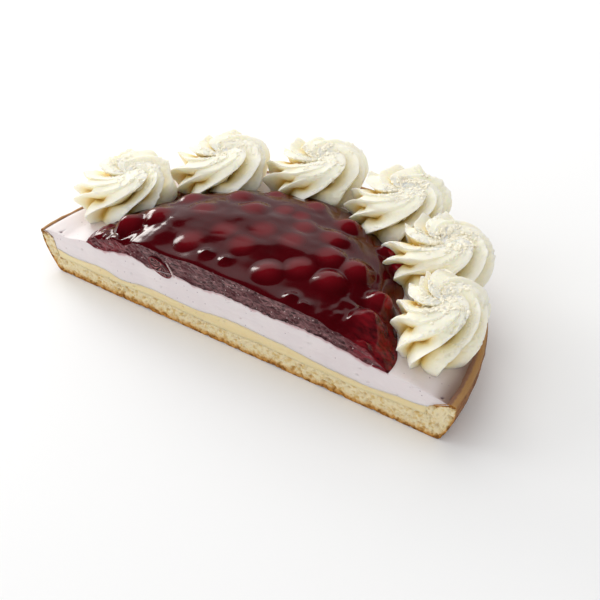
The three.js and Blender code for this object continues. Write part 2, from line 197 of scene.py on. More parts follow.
def away_from(points, x, y):
    """How far points lie from an upright line."""
    return np.hypot(points[..., 0] - x, points[..., 1] - y)


def cell_number(cells, seed):
    """A random number from 0 to 1 for each whole-numbered cell."""
    code = (cells[..., 0] * 73856093) ^ (cells[..., 1] * 19349663) ^ (cells[..., 2] * 83492791)
    code = (code ^ (seed * 2654435761)) & LARGEST_CODE
    for shift, factor in ((15, 2246822519), (13, 3266489917)):
        code = ((code ^ (code >> shift)) * factor) & LARGEST_CODE
    return ((code ^ (code >> 16)) & LARGEST_CODE) / (LARGEST_CODE + 1)


def lumps(points, size, seed):
    """Smooth random heights from -1 to 1 with lumps of the given size, one number or one per axis."""
    scaled = np.asarray(points, float) / size
    base = np.floor(scaled).astype(np.int64)
    share = scaled - base
    share = share * share * (3 - 2 * share)
    total = np.zeros(share.shape[:-1])
    for corner in np.ndindex(2, 2, 2):
        weight = np.prod(np.where(corner, share, 1 - share), axis=-1)
        total += weight * cell_number(base + np.array(corner), seed)
    return total * 2 - 1


def bubbles(points, size, seed):
    """Distance to the nearest of randomly placed bubbles, one to a cell, as a share of the cell."""
    scaled = np.asarray(points, float) / size
    base = np.floor(scaled).astype(np.int64)
    nearest = np.full(scaled.shape[:-1], np.inf)
    for step in np.ndindex(3, 3, 3):
        cell = base + np.array(step) - 1
        centre = np.stack([cell_number(cell, seed + axis) for axis in range(3)], axis=-1) + cell
        nearest = np.minimum(nearest, np.linalg.norm(scaled - centre, axis=-1))
    return nearest


def grid_triangles(shape, first, flipped=False):
    """Triangles of a grid of points whose indices start at first."""
    index = first + np.arange(shape[0] * shape[1]).reshape(shape)
    a, b, c, d = index[:-1, :-1], index[1:, :-1], index[1:, 1:], index[:-1, 1:]
    triangles = np.concatenate([np.stack([a, b, c], -1), np.stack([a, c, d], -1)]).reshape(-1, 3)
    return triangles[:, ::-1] if flipped else triangles


def weld(points, triangles, marks):
    """Joins points that coincide and drops the triangles that this flattens."""
    keys = np.round(points * WELD_STEPS).astype(np.int64)
    _, first, inverse = np.unique(keys, axis=0, return_index=True, return_inverse=True)
    joined = inverse.reshape(-1)[triangles]
    a, b, c = joined.T
    joined = joined[(a != b) & (b != c) & (c != a)]
    return points[first], joined, {name: values[first] for name, values in marks.items()}


def new_object(name, data):
    """Adds an object to the scene."""
    made = bpy.data.objects.new(name, data)
    bpy.context.scene.collection.objects.link(made)
    return made


def new_piece(name, points, triangles, marks, material):
    """A closed mesh in the frame, from points in mm, with a float attribute for each mark."""
    edges = np.sort(triangles[:, [0, 1, 1, 2, 2, 0]].reshape(-1, 2), axis=1)
    uses = np.unique(edges, axis=0, return_counts=True)[1]
    if (uses != 2).any():
        raise RuntimeError(f"{name} has {int((uses != 2).sum())} edges that don't join two faces")
    mesh = bpy.data.meshes.new(name)
    mesh.vertices.add(len(points))
    mesh.vertices.foreach_set("co", place(points).ravel())
    mesh.loops.add(triangles.size)
    mesh.loops.foreach_set("vertex_index", triangles.ravel())
    mesh.polygons.add(len(triangles))
    mesh.polygons.foreach_set("loop_start", np.arange(0, triangles.size, 3))
    mesh.update(calc_edges=True)
    mesh.shade_smooth()
    for mark, values in marks.items():
        mesh.attributes.new(mark, "FLOAT", "POINT").data.foreach_set("value", values)
    mesh.materials.append(material)
    return new_object(name, mesh)


def serve(piece, nodes):
    """Rides a piece on the flan in place of its CAD nodes."""
    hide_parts(*nodes)
    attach(piece, "root")


# ---- layers: the space between two surfaces swept round half a turn ----
def sweep_angles(count):
    """Angles round the half circle, close together next to the cut."""
    near = np.array([0, 0.003, 0.007, 0.013, 0.021])
    middle = np.linspace(0.032, math.pi - 0.032, count)
    return np.concatenate([near, middle, math.pi - near[::-1]])


def swept(radius, height, angle):
    """Points [station, angle, xyz] from radii and heights at each station and angle."""
    across = np.where((angle == 0) | (angle == math.pi), 0.0, np.sin(angle))
    radius, height = np.broadcast_arrays(radius, height)
    return np.stack([radius * np.cos(angle), radius * across, height], axis=-1)


def half_shell(floor, top, rows, carve):
    """Closes a layer with its rim and its cut face. carve gives how deep each point of the cut face
    lies, from its place and its height over the floor. The marks are mm above the floor, mm below the
    top, 1 on the cut face, and that depth."""
    share = np.linspace(0, 1, rows + 1)

    def between(low, high):
        return low[:, None] * (1 - share[:, None]) + high[:, None] * share[:, None]

    lows = np.concatenate([floor[:0:-1, -1], floor[:, 0]])
    highs = np.concatenate([top[:0:-1, -1], top[:, 0]])
    span = np.linalg.norm(highs - lows, axis=-1)[:, None]
    cut = between(lows, highs)
    edge = np.clip(np.minimum(share, 1 - share) * span / EDGE_SOFTNESS, 0, 1)
    edge[[0, -1]] = 0
    depth = carve(cut, share * span) * edge
    cut[..., 1] += depth
    side = between(floor[-1], top[-1])
    side_span = np.linalg.norm(top[-1] - floor[-1], axis=-1)[:, None]
    gap = np.linalg.norm(top - floor, axis=-1)
    grids = [(cut, False), (top, False), (side, False), (floor, True)]
    above = [share * span, gap, share * side_span, gap * 0]
    below = [(1 - share) * span, gap * 0, (1 - share) * side_span, gap]
    points, triangles, first = [], [], 0
    for grid, flipped in grids:
        triangles.append(grid_triangles(grid.shape[:2], first, flipped))
        points.append(grid.reshape(-1, 3))
        first += len(points[-1])
    count = cut.shape[0] * cut.shape[1]
    marks = {
        "above_floor": np.concatenate([values.ravel() for values in above]),
        "below_top": np.concatenate([values.ravel() for values in below]),
        "on_cut": np.where(np.arange(first) < count, 1.0, 0.0),
        "depth": np.concatenate([depth.ravel(), np.zeros(first - count)]),
    }
    return weld(np.concatenate(points), np.concatenate(triangles), marks)


def curve_through(controls, steps):
    """A smooth curve through control points [control, angle, (radius, height)], steps to a stretch."""
    count = len(controls)
    place_on = np.linspace(0, count - 1, (count - 1) * steps + 1)
    index = np.minimum(place_on.astype(int), count - 2)
    share = (place_on - index)[:, None, None]
    before, here = controls[np.maximum(index - 1, 0)], controls[index]
    there, after = controls[index + 1], controls[np.minimum(index + 2, count - 1)]
    slope_in, slope_out = (there - before) * 0.4, (after - here) * 0.4
    square, cube = share ** 2, share ** 3
    return (
        here * (2 * cube - 3 * square + 1) + slope_in * (cube - 2 * square + share)
        + there * (3 * square - 2 * cube) + slope_out * (cube - square)
    )


def section(angle, *rows):
    """The control points of a section at every angle, from rows of radius and height."""
    return np.array([np.stack([radius + 0 * angle, height + 0 * angle], axis=-1) for radius, height in rows])


# ---- crust ----
UNDERSIDE_RADIUS = 128.4


def rim_height(angle):
    return blend(28.6, 25.6, angle)


def wall_top(angle):
    return FLAN_RADIUS - blend(3.4, 4.6, angle)


def wall_shoulder(angle):
    return FLAN_RADIUS - blend(10.4, 11, angle)


def wall_foot(angle):
    return FLAN_RADIUS - blend(11, 15.5, angle)


def crust_surfaces():
    """The crust's underside with its outer wall, blistered, and its top with its inner wall."""
    angle = sweep_angles(120)
    rim = rim_height(angle)
    share = np.linspace(0, 1, 200)[:, None]
    radius = FLAN_RADIUS
    inside_controls = section(
        angle,
        (wall_foot(angle) - 0.6, carried(BASE_TOP, wall_foot(angle) - 0.6, angle)),
        (wall_foot(angle), 18),
        (wall_shoulder(angle), rim - 3.6),
        (wall_top(angle) - 0.4, rim - 0.2),
        (wall_top(angle) + 0.5, rim + 0.25),
        (radius - 1.8, rim + 0.2),
        (radius - 0.7, rim - 0.5),
        (radius - 0.3, rim - 2.2),
    )
    outside_controls = section(
        angle, (UNDERSIDE_RADIUS, 0), (131, 0.4), (133.6, 2.6), (135.8, 6.6), (137.6, 11.4), (139, 16),
        (radius - 0.05, 20.5), (radius - 0.15, rim - 3.2),
    )
    wall_in = curve_through(inside_controls, 9)
    wall_out = curve_through(outside_controls, 9)
    base_radius = share * (wall_foot(angle) - 0.6)
    floor_radius = share * UNDERSIDE_RADIUS + 0 * angle
    base = swept(base_radius, carried(BASE_TOP, base_radius, angle), angle)
    floor = swept(floor_radius, 0.0, angle)
    top = np.concatenate([base[:-1], swept(wall_in[..., 0], wall_in[..., 1], angle)])
    under = np.concatenate([floor[:-1], swept(wall_out[..., 0], wall_out[..., 1], angle)])
    blister = lumps(under, 9, 3) * 0.35 + lumps(under, 3, 4) * 0.18
    outwards = under[..., :2] / np.maximum(np.linalg.norm(under[..., :2], axis=-1), 1)[..., None]
    on_wall = smoothstep(under[..., 2], 0.2, 4)
    under[..., :2] -= outwards * (0.5 - blister)[..., None] * on_wall[..., None]
    under[..., 1] = np.maximum(under[..., 1], 0)
    crown = smoothstep(top[..., 2], 20, 24)
    top[..., 2] += (lumps(top, 7, 5) * 0.5 + lumps(top, 2.5, 6) * 0.3) * crown
    under[:, [0, -1], 1] = 0
    underside = smoothstep(under[..., 1], 6, 0) * (1 - on_wall)
    under[..., 2] += underside * np.clip(lumps(under, 4, 7) * 0.7 + lumps(under, 1.6, 8) * 0.5, 0, 1)
    return under, top


def crumb_depth(points, above):
    """Open crumb on the cut: a sandy grain and round holes of two sizes, which stop at the skin."""
    skin = smoothstep(above, 0.3, 1.8)
    large = smoothstep(bubbles(points, (6.4, 5.2, 4.2), 11), 0.34, 0.1) * 1.3
    small = smoothstep(bubbles(points, (2.1, 2.1, 1.6), 15), 0.46, 0.12) * 0.8
    grain = lumps(points, 1.3, 19) * 0.34 + 0.35
    return (large + small) * skin + grain


# ---- custard ----
def custard_surfaces():
    """The custard's underside and its top."""
    angle = sweep_angles(80)
    edge = wall_foot(angle) + LAYER_LAP
    share = np.linspace(0, 1, 190)[:, None]
    radius = share * edge
    floor = swept(radius, carried(BASE_TOP, np.minimum(radius, edge - 0.7), angle) - LAYER_LAP, angle)
    top = swept(radius, carried(CUSTARD_TOP, radius, angle), angle)
    top[..., 2] += lumps(top, 6, 21) * 0.3 + lumps(top, 2.2, 22) * 0.12
    return floor, top


def custard_depth(points, above):
    """Smears of the knife on the cut and a few air holes."""
    smear = lumps(points, (14, 14, 1.5), 23) * 0.18 + lumps(points, 1.6, 24) * 0.07
    hole = smoothstep(bubbles(points, (7, 7, 5), 25), 0.16, 0.05) * 0.8
    return smear + hole + 0.3


# ---- cream layer ----
MOUND_ENDS = (99.5, 104)    # where the jelly ends on the cut, left and right
# A tongue of jelly that runs out between the first two rosettes: degrees, width, reach in mm.
TONGUE = (143, 9, 13)


def mound_edge(angle):
    """The edge of the mound of jelly, drawn in behind its right end."""
    wander = 3.2 * np.sin(angle) + 0.8 * np.sin(9 * angle)
    drawn_in = 8 * smoothstep(angle, 0, 0.32) * smoothstep(angle, 1.6, 0.6)
    return blend(*MOUND_ENDS, angle) + wander - drawn_in


def jelly_edge(angle):
    """The edge of the mound with its tongue."""
    degrees, width, reach = TONGUE
    return mound_edge(angle) + reach * np.exp(-((np.degrees(angle) - degrees) / width) ** 2)


def cream_height(points, radius, angle):
    """The cream's top: wavy where the jelly lies on it, smoothed with a palette knife outside."""
    under_jelly = smoothstep(radius, jelly_edge(angle) + 1, jelly_edge(angle) - 6)
    wavy = lumps(points, 5.5, 31) * 0.55 + lumps(points, 2.1, 32) * 0.4
    spread = lumps(points, 16, 33) * 0.35 + lumps(points, (9, 3, 9), 34) * 0.1
    return carried(CREAM_TOP, radius, angle) + wavy * under_jelly + spread * (1 - under_jelly)


def flat_points(radius, angle):
    """Points at no height, where relief that doesn't change with height is read."""
    return swept(radius, 0.0 * radius, angle)


def cream_surfaces():
    """The cream's underside, up the inside of the crust's wall, and its top, which runs out to the rim."""
    angle = sweep_angles(110)
    rim = rim_height(angle)
    foot = wall_foot(angle) + LAYER_LAP
    inner = np.linspace(0, 1, 200)[:, None] * foot
    floor_z = carried(CUSTARD_TOP, inner, angle) - 0.15
    side = curve_through(section(
        angle,
        (foot, carried(CUSTARD_TOP, foot, angle) - 0.15),
        (wall_shoulder(angle) + LAYER_LAP, rim - 3.8),
        (wall_top(angle) - 0.3, rim - 1),
    ), 6)
    bottom, flank = swept(inner[:-1], floor_z[:-1], angle), swept(side[..., 0], side[..., 1], angle)
    floor = np.concatenate([bottom, flank])
    share = np.linspace(0, 1, len(floor))[:, None]
    radius = share * (wall_top(angle) + 0.4)
    high = cream_height(flat_points(radius, angle), radius, angle)
    top = swept(radius, high, angle)
    meets_rim = smoothstep(radius, wall_top(angle) - 4, wall_top(angle) + 0.2)
    top[..., 2] = top[..., 2] * (1 - meets_rim) + (rim - 0.35) * meets_rim
    top[..., 2] -= cream_pits(top) * 0.9
    top[..., 2] -= EDGE_SOFTNESS * 0.8 * np.exp(-top[..., 1] / 0.6)
    return floor, top


def cream_depth(points, above):
    """Drag of the knife on the cut, a few air holes and the dish where the halved cherry lies."""
    drag = lumps(points, (22, 22, 2.6), 35) * 0.22 + lumps(points, (3, 3, 1.4), 36) * 0.08
    pore = smoothstep(bubbles(points, (6.5, 6.5, 5), 37), 0.13, 0.05) * 0.9
    return drag + pore + 0.3 + cherry_dish(points)


# Pits in the cream's top, as (x, y, radius).
CREAM_PITS = [(-123.7, 2.9, 1.3), (-122.2, 9.7, 1.0), (131.5, 1.8, 0.8), (135, 4.6, 0.7)]


def cream_pits(points):
    """1 inside the pits in the cream's top."""
    inside = np.zeros(points.shape[:-1])
    for x, y, size in CREAM_PITS:
        inside = np.maximum(inside, smoothstep(away_from(points, x, y), size, size * 0.45))
    return inside


# ---- cherries, from the frame ----
def cherry_ball(node):
    """Centre in mm round the flan's centre, and radius, of a CAD cherry."""
    low, high = (np.array(corner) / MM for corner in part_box(node))
    centre = (low + high) / 2 - np.array([0, CUT_FACE_Y, 0])
    return centre, (high[2] - low[2]) / 2


CHERRY_BALLS = [cherry_ball(node) for node in WHOLE_CHERRIES]
CUT_CHERRY_X, CUT_CHERRY_Z = cherry_ball("cherry_01")[0][[0, 2]] + np.array([-1.6, 0.9])
CUT_CHERRY_HALVES = (8.4, 5.0)      # half length and half height of its cut face
CUT_CHERRY_TILT = math.radians(-24)
CUT_CHERRY_BACK = 4.6               # how far its round back reaches into the flan
CUT_CHERRY_UPPER = 0.82             # its upper half is flatter by this
CUT_CHERRY_VEINS = 11
DISH_DEPTH = 1.6                    # depth of the hollow in the layers behind it


def cut_cherry_share(points):
    """How far a point of the cut lies from the halved cherry's middle, 1 on the cherry's outline."""
    x, z = points[..., 0] - CUT_CHERRY_X, points[..., 2] - CUT_CHERRY_Z
    along = x * math.cos(CUT_CHERRY_TILT) + z * math.sin(CUT_CHERRY_TILT)
    across = z * math.cos(CUT_CHERRY_TILT) - x * math.sin(CUT_CHERRY_TILT)
    return np.hypot(along / CUT_CHERRY_HALVES[0], across / CUT_CHERRY_HALVES[1])


def cherry_dish(points):
    """The hollow behind the halved cherry."""
    return smoothstep(cut_cherry_share(points), 1.02, 0.9) * DISH_DEPTH


def cut_cherry_mesh():
    """The halved cherry: a shrunken lens with veins round the stone's hollow, and its round back."""
    around = np.linspace(0, 2 * math.pi, 97)
    face = np.linspace(0, 1, 26)[:, None]
    back = np.linspace(0, math.pi / 2, 14)[1:, None]
    share = np.concatenate([face + 0 * around, np.cos(back) + 0 * around])
    share[-1] = 0
    upper = np.where(np.sin(around) > 0, CUT_CHERRY_UPPER, 1.0)
    along = share * CUT_CHERRY_HALVES[0] * np.sign(np.cos(around)) * np.abs(np.cos(around)) ** 0.92
    across = share * CUT_CHERRY_HALVES[1] * np.sin(around) * upper
    x = CUT_CHERRY_X + along * math.cos(CUT_CHERRY_TILT) - across * math.sin(CUT_CHERRY_TILT)
    z = CUT_CHERRY_Z + along * math.sin(CUT_CHERRY_TILT) + across * math.cos(CUT_CHERRY_TILT)
    flat = np.stack([x, 0 * x, z], axis=-1)
    waver = around + lumps(flat, 2.4, 51) * 0.5
    on_face = np.arange(len(share))[:, None] < len(face)
    vein = np.cos(waver * CUT_CHERRY_VEINS) * 4 * share * (1 - share) * on_face
    hollow = 0.5 + 0.9 * (1 - share) ** 2 + vein * 0.28 + lumps(flat, 1.6, 52) * 0.22
    round_back = CUT_CHERRY_BACK * np.sqrt(np.maximum(1 - share ** 2, 0))
    depth = np.where(on_face, hollow * smoothstep(share, 1.0, 0.86), round_back)
    points = np.stack([x, depth - 0.1, z], axis=-1)
    points[:, -1], vein[:, -1] = points[:, 0], vein[:, 0]
    marks = {"vein": vein.ravel(), "rind": share.ravel()}
    return weld(points.reshape(-1, 3), grid_triangles(points.shape[:2], 0), marks)


# A pale strand of fruit beside the halved cherry, as (x, z, radius) down the cut.
STRAND = [
    (-34, 41.6, 0.3), (-33, 39.6, 0.45), (-31.6, 37.2, 0.55), (-30.4, 34.6, 0.8), (-29.8, 32.8, 0.35),
]


def strand_mesh():
    """The strand, a thin tube that lies half sunk in the cut face."""
    line = curve_through(np.array(STRAND)[:, None, :], 6)[:, 0]
    around = np.linspace(0, 2 * math.pi, 13)
    width = line[:, 2:3] * np.concatenate([[0.0], np.ones(len(line) - 2), [0.0]])[:, None]
    x = line[:, 0:1] + width * np.cos(around)
    y = 0.35 + width * 0.8 * np.sin(around)
    z = line[:, 1:2] + 0 * around
    points = np.stack([x, y, z], axis=-1)
    points[:, -1] = points[:, 0]
    return weld(points.reshape(-1, 3), grid_triangles(points.shape[:2], 0, flipped=True), {})


# ---- cherry jelly ----
CHERRY_SKIN = 0.6           # room that a cherry's lumps need under the film
JELLY_FILM = 0.3            # jelly over the top of a cherry
HILL_SPREAD = 1.42          # reach of the film's hill over a cherry, by the cherry's radius
SAG_WIDTH = 18              # the strip along the cut where the jelly sags outwards
SAG_DEPTH = 1.5
INNER_RISE = 3.2            # how much higher the jelly stands a little behind the cut
BEAD_STEEPNESS = 0.66       # height of a bead at its middle, by its size
# Wet beads of jelly that catch the light, as (x, y, size).
BEADS = [
    (-12.5, 10.2, 3.3), (-0.5, 11, 3.0), (46, 5.4, 3.8), (54, 4, 2.8), (78, 9.5, 2.6), (83.6, 7.4, 2.4),
    (88.7, 3.2, 2.2), (91, 12, 2.2),
]


def jelly_mound(points, radius, angle):
    """The jelly's top without cherries."""
    x, y = points[..., 0], points[..., 1]
    edge = mound_edge(angle)
    stretch = blend(*MOUND_ENDS, angle) / edge
    mound = carried(JELLY_TOP, radius * stretch, angle)
    still = smoothstep(y, 34, 14) * smoothstep(x, -22, -4)
    ripple = lumps(points, (17, 9, 9), 41) * 0.8 + lumps(points, (8, 5, 5), 42) * 0.22
    ripple *= 1 - 0.75 * still
    thin = cream_height(points, radius, angle) + 1.0
    rough_end = smoothstep(x, -44, -74) + smoothstep(x, 58, 76) * 0.8
    rough_end *= smoothstep(y, 44, 14)
    ripple += rough_end * (lumps(points, 6.5, 43) * 1.5 + lumps(points, 3.2, 49) * 0.7)
    sagging = smoothstep(x, -92, -70) * smoothstep(x, -12, -30)
    slope = np.clip(y / SAG_WIDTH, 0, 1) * 2 - 1
    sag = sagging * slope * SAG_DEPTH * smoothstep(y, 46, 22)
    inside = INNER_RISE * smoothstep(y, 6, 42) * smoothstep(radius, edge - 2, edge - 24)
    return np.maximum(thin + ripple * 0.3, mound + 1.2 + ripple + sag + inside)


def beads(points):
    """How high the wet beads stand on the jelly."""
    high = np.zeros(points.shape[:-1])
    for x, y, size in BEADS:
        high += size * BEAD_STEEPNESS * np.exp(-(away_from(points, x, y) / size) ** 2)
    return high


def jelly_height(points, radius, angle):
    """The jelly's top, drawn up over each cherry as a film, and how much of a cherry lies under it."""
    high = jelly_mound(points, radius, angle)
    lift, cover = np.zeros(high.shape), np.zeros(high.shape)
    for centre, ball in CHERRY_BALLS:
        away = away_from(points, centre[0], centre[1])
        near = np.clip(1 - (away / (ball * HILL_SPREAD)) ** 2, 0, 1)
        rise = np.maximum(centre[2] + ball + JELLY_FILM - high, 0)
        lift += (rise * near ** 1.5) ** 3
        cover = np.maximum(cover, smoothstep(away, ball * 1.35, ball * 0.3))
    return high + np.cbrt(lift) + beads(points), cover


def jelly_surfaces():
    """The mound's underside and its top."""
    angle = sweep_angles(210)
    share = np.linspace(0, 1, 185)[:, None] ** 0.9
    wander = lumps(flat_points(jelly_edge(angle)[None], angle), 9, 44) * 1.3
    radius = share * (jelly_edge(angle) + wander)
    points = flat_points(radius, angle)
    low = cream_height(points, radius, angle) - LAYER_LAP
    high = jelly_height(points, radius, angle)[0]
    lip = smoothstep(share, 1.0, 0.975) * 0.9 + 0.1
    high = np.maximum(low + (high - low) * lip, low + 0.2)
    top = swept(radius, high, angle)
    top[..., 2] -= EDGE_SOFTNESS * 1.6 * np.exp(-top[..., 1] / 0.9)
    return swept(radius, low, angle), top


def jelly_depth(points, above):
    """Torn jelly on the cut: slanting fibres, pits, and a dish where the halved cherry lies."""
    slant = points @ np.array([[0.85, 0, -0.52], [0, 1, 0], [0.52, 0, 0.85]]).T
    fibres = lumps(slant, (4.5, 9, 1.2), 45) * 0.45 + lumps(slant, (1.8, 9, 0.9), 46) * 0.4
    pits = smoothstep(bubbles(points, (3.2, 5, 2.4), 47), 0.34, 0.08)
    return fibres + pits + 0.9 + cherry_dish(points)


# ---- rosettes ----
def rosette_centre(rosette):
    """The middle of a rosette's foot on the cream."""
    angle = math.radians(rosette[0])
    height = float(carried(CREAM_TOP, np.array(float(ROSETTE_RING)), np.array(angle)))
    return np.array([ROSETTE_RING * math.cos(angle), ROSETTE_RING * math.sin(angle), height])


def support_height(points):
    """The top of what a rosette stands on."""
    radius = np.hypot(points[..., 0], points[..., 1])
    angle = np.arctan2(np.maximum(points[..., 1], 0), points[..., 0])
    flat = points * np.array([1, 1, 0])
    cream = cream_height(flat, radius, angle)
    jelly = jelly_height(flat, radius, angle)[0]
    high = np.where(radius < jelly_edge(angle), jelly, cream)
    return np.where(radius > wall_top(angle), rim_height(angle) + 0.3, high)


def petal_columns(random):
    """Bearing, height across the petal, valley depth, reach, lift, narrowness and fading of the columns
    round a rosette. Petals that stand close together are narrow points, the others are broad bands. The
    valley lies nearer to the petal that it follows, so that each band overlaps the next."""
    tips = np.radians(PETAL_TIPS)[:, None] + (random.random((len(PETAL_TIPS), 1)) - 0.5) * TIP_SCATTER
    gap = (np.roll(tips, -1, axis=0) - tips) % (2 * math.pi)
    before = np.roll(gap, 1, axis=0)
    share = np.arange(COLUMNS_TO_A_PETAL) / COLUMNS_TO_A_PETAL
    ahead, behind = before * (1 - VALLEY_AT), gap * VALLEY_AT
    crest_at = ahead / (ahead + behind)
    away = np.where(share < crest_at, 1 - share / crest_at, (share - crest_at) / (1 - crest_at))
    broad = smoothstep(before + gap, math.radians(60), math.radians(78))
    crest = 1 - away ** (1.0 + 0.12 * broad)
    bearing = tips + (share - crest_at) * (ahead + behind)
    depth = np.clip((before * (1 - share) + gap * share) / math.radians(FULL_VALLEY), 0.7, 1.15)
    reach = np.array(PETAL_REACH)[:, None] + 0 * share
    lift = np.array(PETAL_LIFT)[:, None] + 0 * share
    follows, leads = np.array(VALLEY_FADE)[:, None], np.roll(VALLEY_FADE, 1)[:, None]
    fade = np.where(share < crest_at, leads, follows)
    columns = np.broadcast_arrays(bearing, crest, depth, reach, lift, 1 - broad, fade)
    return [values.ravel() for values in columns]


def spin(degrees):
    """The turn round the flan that takes a rosette from the right end to its place."""
    cosine, sine = math.cos(math.radians(degrees)), math.sin(math.radians(degrees))
    return np.array([[cosine, -sine, 0], [sine, cosine, 0], [0, 0, 1]])


def rosette_surface(index, radius, height):
    """Points and marks of one rosette in its own place on the flan."""
    degrees, size, pull, tallness, own_turn = ROSETTES[index]
    random = np.random.default_rng(100 + index)
    fine = curve_through(np.array(ROSETTE_RINGS)[:, None, :], 18)[:, 0]
    ring_radius, ring_height, valley, turn = fine.T[:, :, None]
    radius, height = radius * size, height * tallness
    bearing, crest, depth, reach, lift, narrow, fade = petal_columns(random)
    petal = np.arange(len(bearing)) // COLUMNS_TO_A_PETAL
    lift = lift + (random.random(len(PETAL_TIPS)) * 0.14 - 0.07)[petal]
    reach = reach + (random.random(len(PETAL_TIPS)) * 0.1 - 0.04)[petal]
    # Each column's bearing changes from foot to crown, more on one side of the rosette.
    sway = 0.07 * np.sin(bearing * 3 + random.random() * 6) * smoothstep(ring_height, 0.9, 0.3)
    sweep = 1 + SWEEP_CHANGE * np.cos(bearing - math.radians(SWEEP_BEARING))
    angle = bearing + math.radians(own_turn - degrees) + sway + ROSETTE_TURN * turn * sweep
    # Its reach and height: valleys between the bands, tips drawn in to points and lifted.
    inwards = smoothstep(turn, 0.08, 0.42)
    valley = valley * depth * (1 + inwards * (0.35 - 1.2 * fade))
    from_tip = smoothstep(np.abs(ring_height - TIP_HEIGHT), 0.02, 0.26) * smoothstep(ring_height, 0.93, 0.8)
    out = radius * (ring_radius * (1 + (reach - 1) * crest) - valley * (1 - crest))
    out = out - radius * POINTEDNESS * narrow * crest ** 2 * from_tip
    drop = smoothstep(ring_height, 0.45, 0.75) * 0.62
    raised = lift * crest * smoothstep(ring_height, 0.1, 0.4) * (1 - smoothstep(ring_height, 0.6, 0.95))
    high = height * (ring_height + raised - drop * valley * (1 - crest))
    points = np.stack([out * np.cos(angle), out * np.sin(angle) * pull, high + 0 * out], axis=-1)
    # What the bag and the cream leave uneven: soft bows, a grain, ragged crests and pores.
    bowed = lumps(points, 11, 60 + index) * 0.9 + lumps(points, 4.5, 65 + index) * 0.3
    fine_grain = lumps(points, 1.9, 70 + index) * 0.1
    patchy = smoothstep(lumps(points, 12, 80 + index), -0.15, 0.4)
    torn = patchy * smoothstep(crest, 0.5, 0.9) * smoothstep(ring_height, 0.3, 0.6)
    ragged = torn * (lumps(points, 1.6, 90 + index) * 0.8 + lumps(points, 0.9, 95 + index) * 0.5)
    outwards = points / np.maximum(np.linalg.norm(points, axis=-1), 1)[..., None]
    porous = smoothstep(points @ spin(degrees)[0] / radius, 0.3, 0.62) * POROUS_SHARE[index]
    holes = smoothstep(bubbles(points, 2.4, 110 + index), 0.5, 0.15)
    pores = porous * holes * smoothstep(ring_height, 0.1, 0.4)
    grain = (bowed + fine_grain + ragged) * smoothstep(ring_height, -0.1, 0.2) - pores * 0.9
    spread = lumps(points, 5, 85 + index) * 0.2
    crown = smoothstep(out / radius + spread, 0.58, 0.3) * smoothstep(ring_height, 0.7, 0.9)
    # How deep in a valley between two bands a point lies; the cream gets painted warm shade there.
    painted_fold_shade = (1 - crest) * np.clip(valley / 0.3, 0, 1)
    points = points + outwards * grain[..., None]
    points = points @ spin(degrees).T + rosette_centre(ROSETTES[index])
    points[..., :2] += np.array(CROWN_SHIFT) * size * smoothstep(ring_height, 0, 0.9)[..., None]
    return points, {"painted_fold_shade": painted_fold_shade, "crown": crown * FLAKE_SHARE[index]}


def press_against(points, index, other):
    """Flattens a rosette where it meets its neighbour."""
    here, there = rosette_centre(ROSETTES[index]), rosette_centre(ROSETTES[other])
    apart = (there - here) * np.array([1, 1, 0])
    distance = np.linalg.norm(apart)
    across = apart / distance
    sizes = [ROSETTES[i][1] * ROSETTES[i][2] for i in (index, other)]
    limit = distance * sizes[0] / sum(sizes)
    side = 1 if other > index else -1
    wave = lumps(points * np.array([0.02, 0.02, 1]) + min(index, other) * 50, 6, 57) * 1.2 * side
    past = (points - here) @ across - (limit + wave)
    return points - across * np.maximum(past, 0)[..., None]


def rosette_piece(index, radius, height, material):
    """One rosette, pressed against its neighbours and what it stands on, closed at foot and peak."""
    points, marks = rosette_surface(index, radius, height)
    for other in (index - 1, index + 1):
        if 0 <= other < len(ROSETTES):
            points = press_against(points, index, other)
    points[..., 1] = np.maximum(points[..., 1], 0.5)
    points[..., 2] = np.maximum(points[..., 2], support_height(points) - 0.3)
    closed = np.concatenate([points, points[:, :1]], axis=1)
    foot, peak = (np.broadcast_to(closed[end].mean(axis=0), closed[[end]].shape) for end in (0, -1))
    closed = np.concatenate([foot, closed, peak])
    spread = {}
    for name, values in marks.items():
        values = np.concatenate([values, values[:, :1]], axis=1)
        values = np.concatenate([values[:1], values, values[-1:]])
        spread[name] = values.ravel()
    triangles = grid_triangles(closed.shape[:2], 0, flipped=True)
    solid_mesh = weld(closed.reshape(-1, 3), triangles, spread)
    return new_piece(f"rosette_cream_{index + 1}", *solid_mesh, material)


# ---- materials ----
def add(tree, kind, inputs=None, **settings):
    """Adds a node with its settings; a shader node's kind is given without "ShaderNode". An input takes a
    value, a socket, or a node for the first output that it has in use."""
    made = tree.nodes.new(kind if "Node" in kind else "ShaderNode" + kind)
    for name, value in settings.items():
        setattr(made, name, value)
    for key, value in (inputs or {}).items():
        if isinstance(value, bpy.types.Node):
            value = next(socket for socket in value.outputs if socket.enabled)
        if isinstance(value, bpy.types.NodeSocket):
            tree.links.new(value, made.inputs[key])
        else:
            made.inputs[key].default_value = value
    return made


def new_material(finish, *paints):
    """A material named for the function that gives its shader's inputs, from its tree, the point that is
    shaded and its paints."""
    material = bpy.data.materials.new(finish.__name__)
    material.use_nodes = True
    tree = material.node_tree
    tree.nodes.clear()
    spot = add(tree, "TexCoord").outputs["Object"]
    shader = add(tree, "BsdfPrincipled", finish(tree, spot, *paints))
    add(tree, "OutputMaterial", {"Surface": shader})
    return material


def clouded(tree, spot, size, detail, base, tint, most):
    """A linear colour that clouds of a size in metres take towards a tint, and the clouds."""
    clouds = add(tree, "TexNoise", {"Vector": spot, "Scale": 1 / size, "Detail": detail})
    colours = {0: clouds, 6: (*base, 1.0), 7: mixed(base, tint, most)}
    return add(tree, "Mix", colours, data_type="RGBA"), clouds


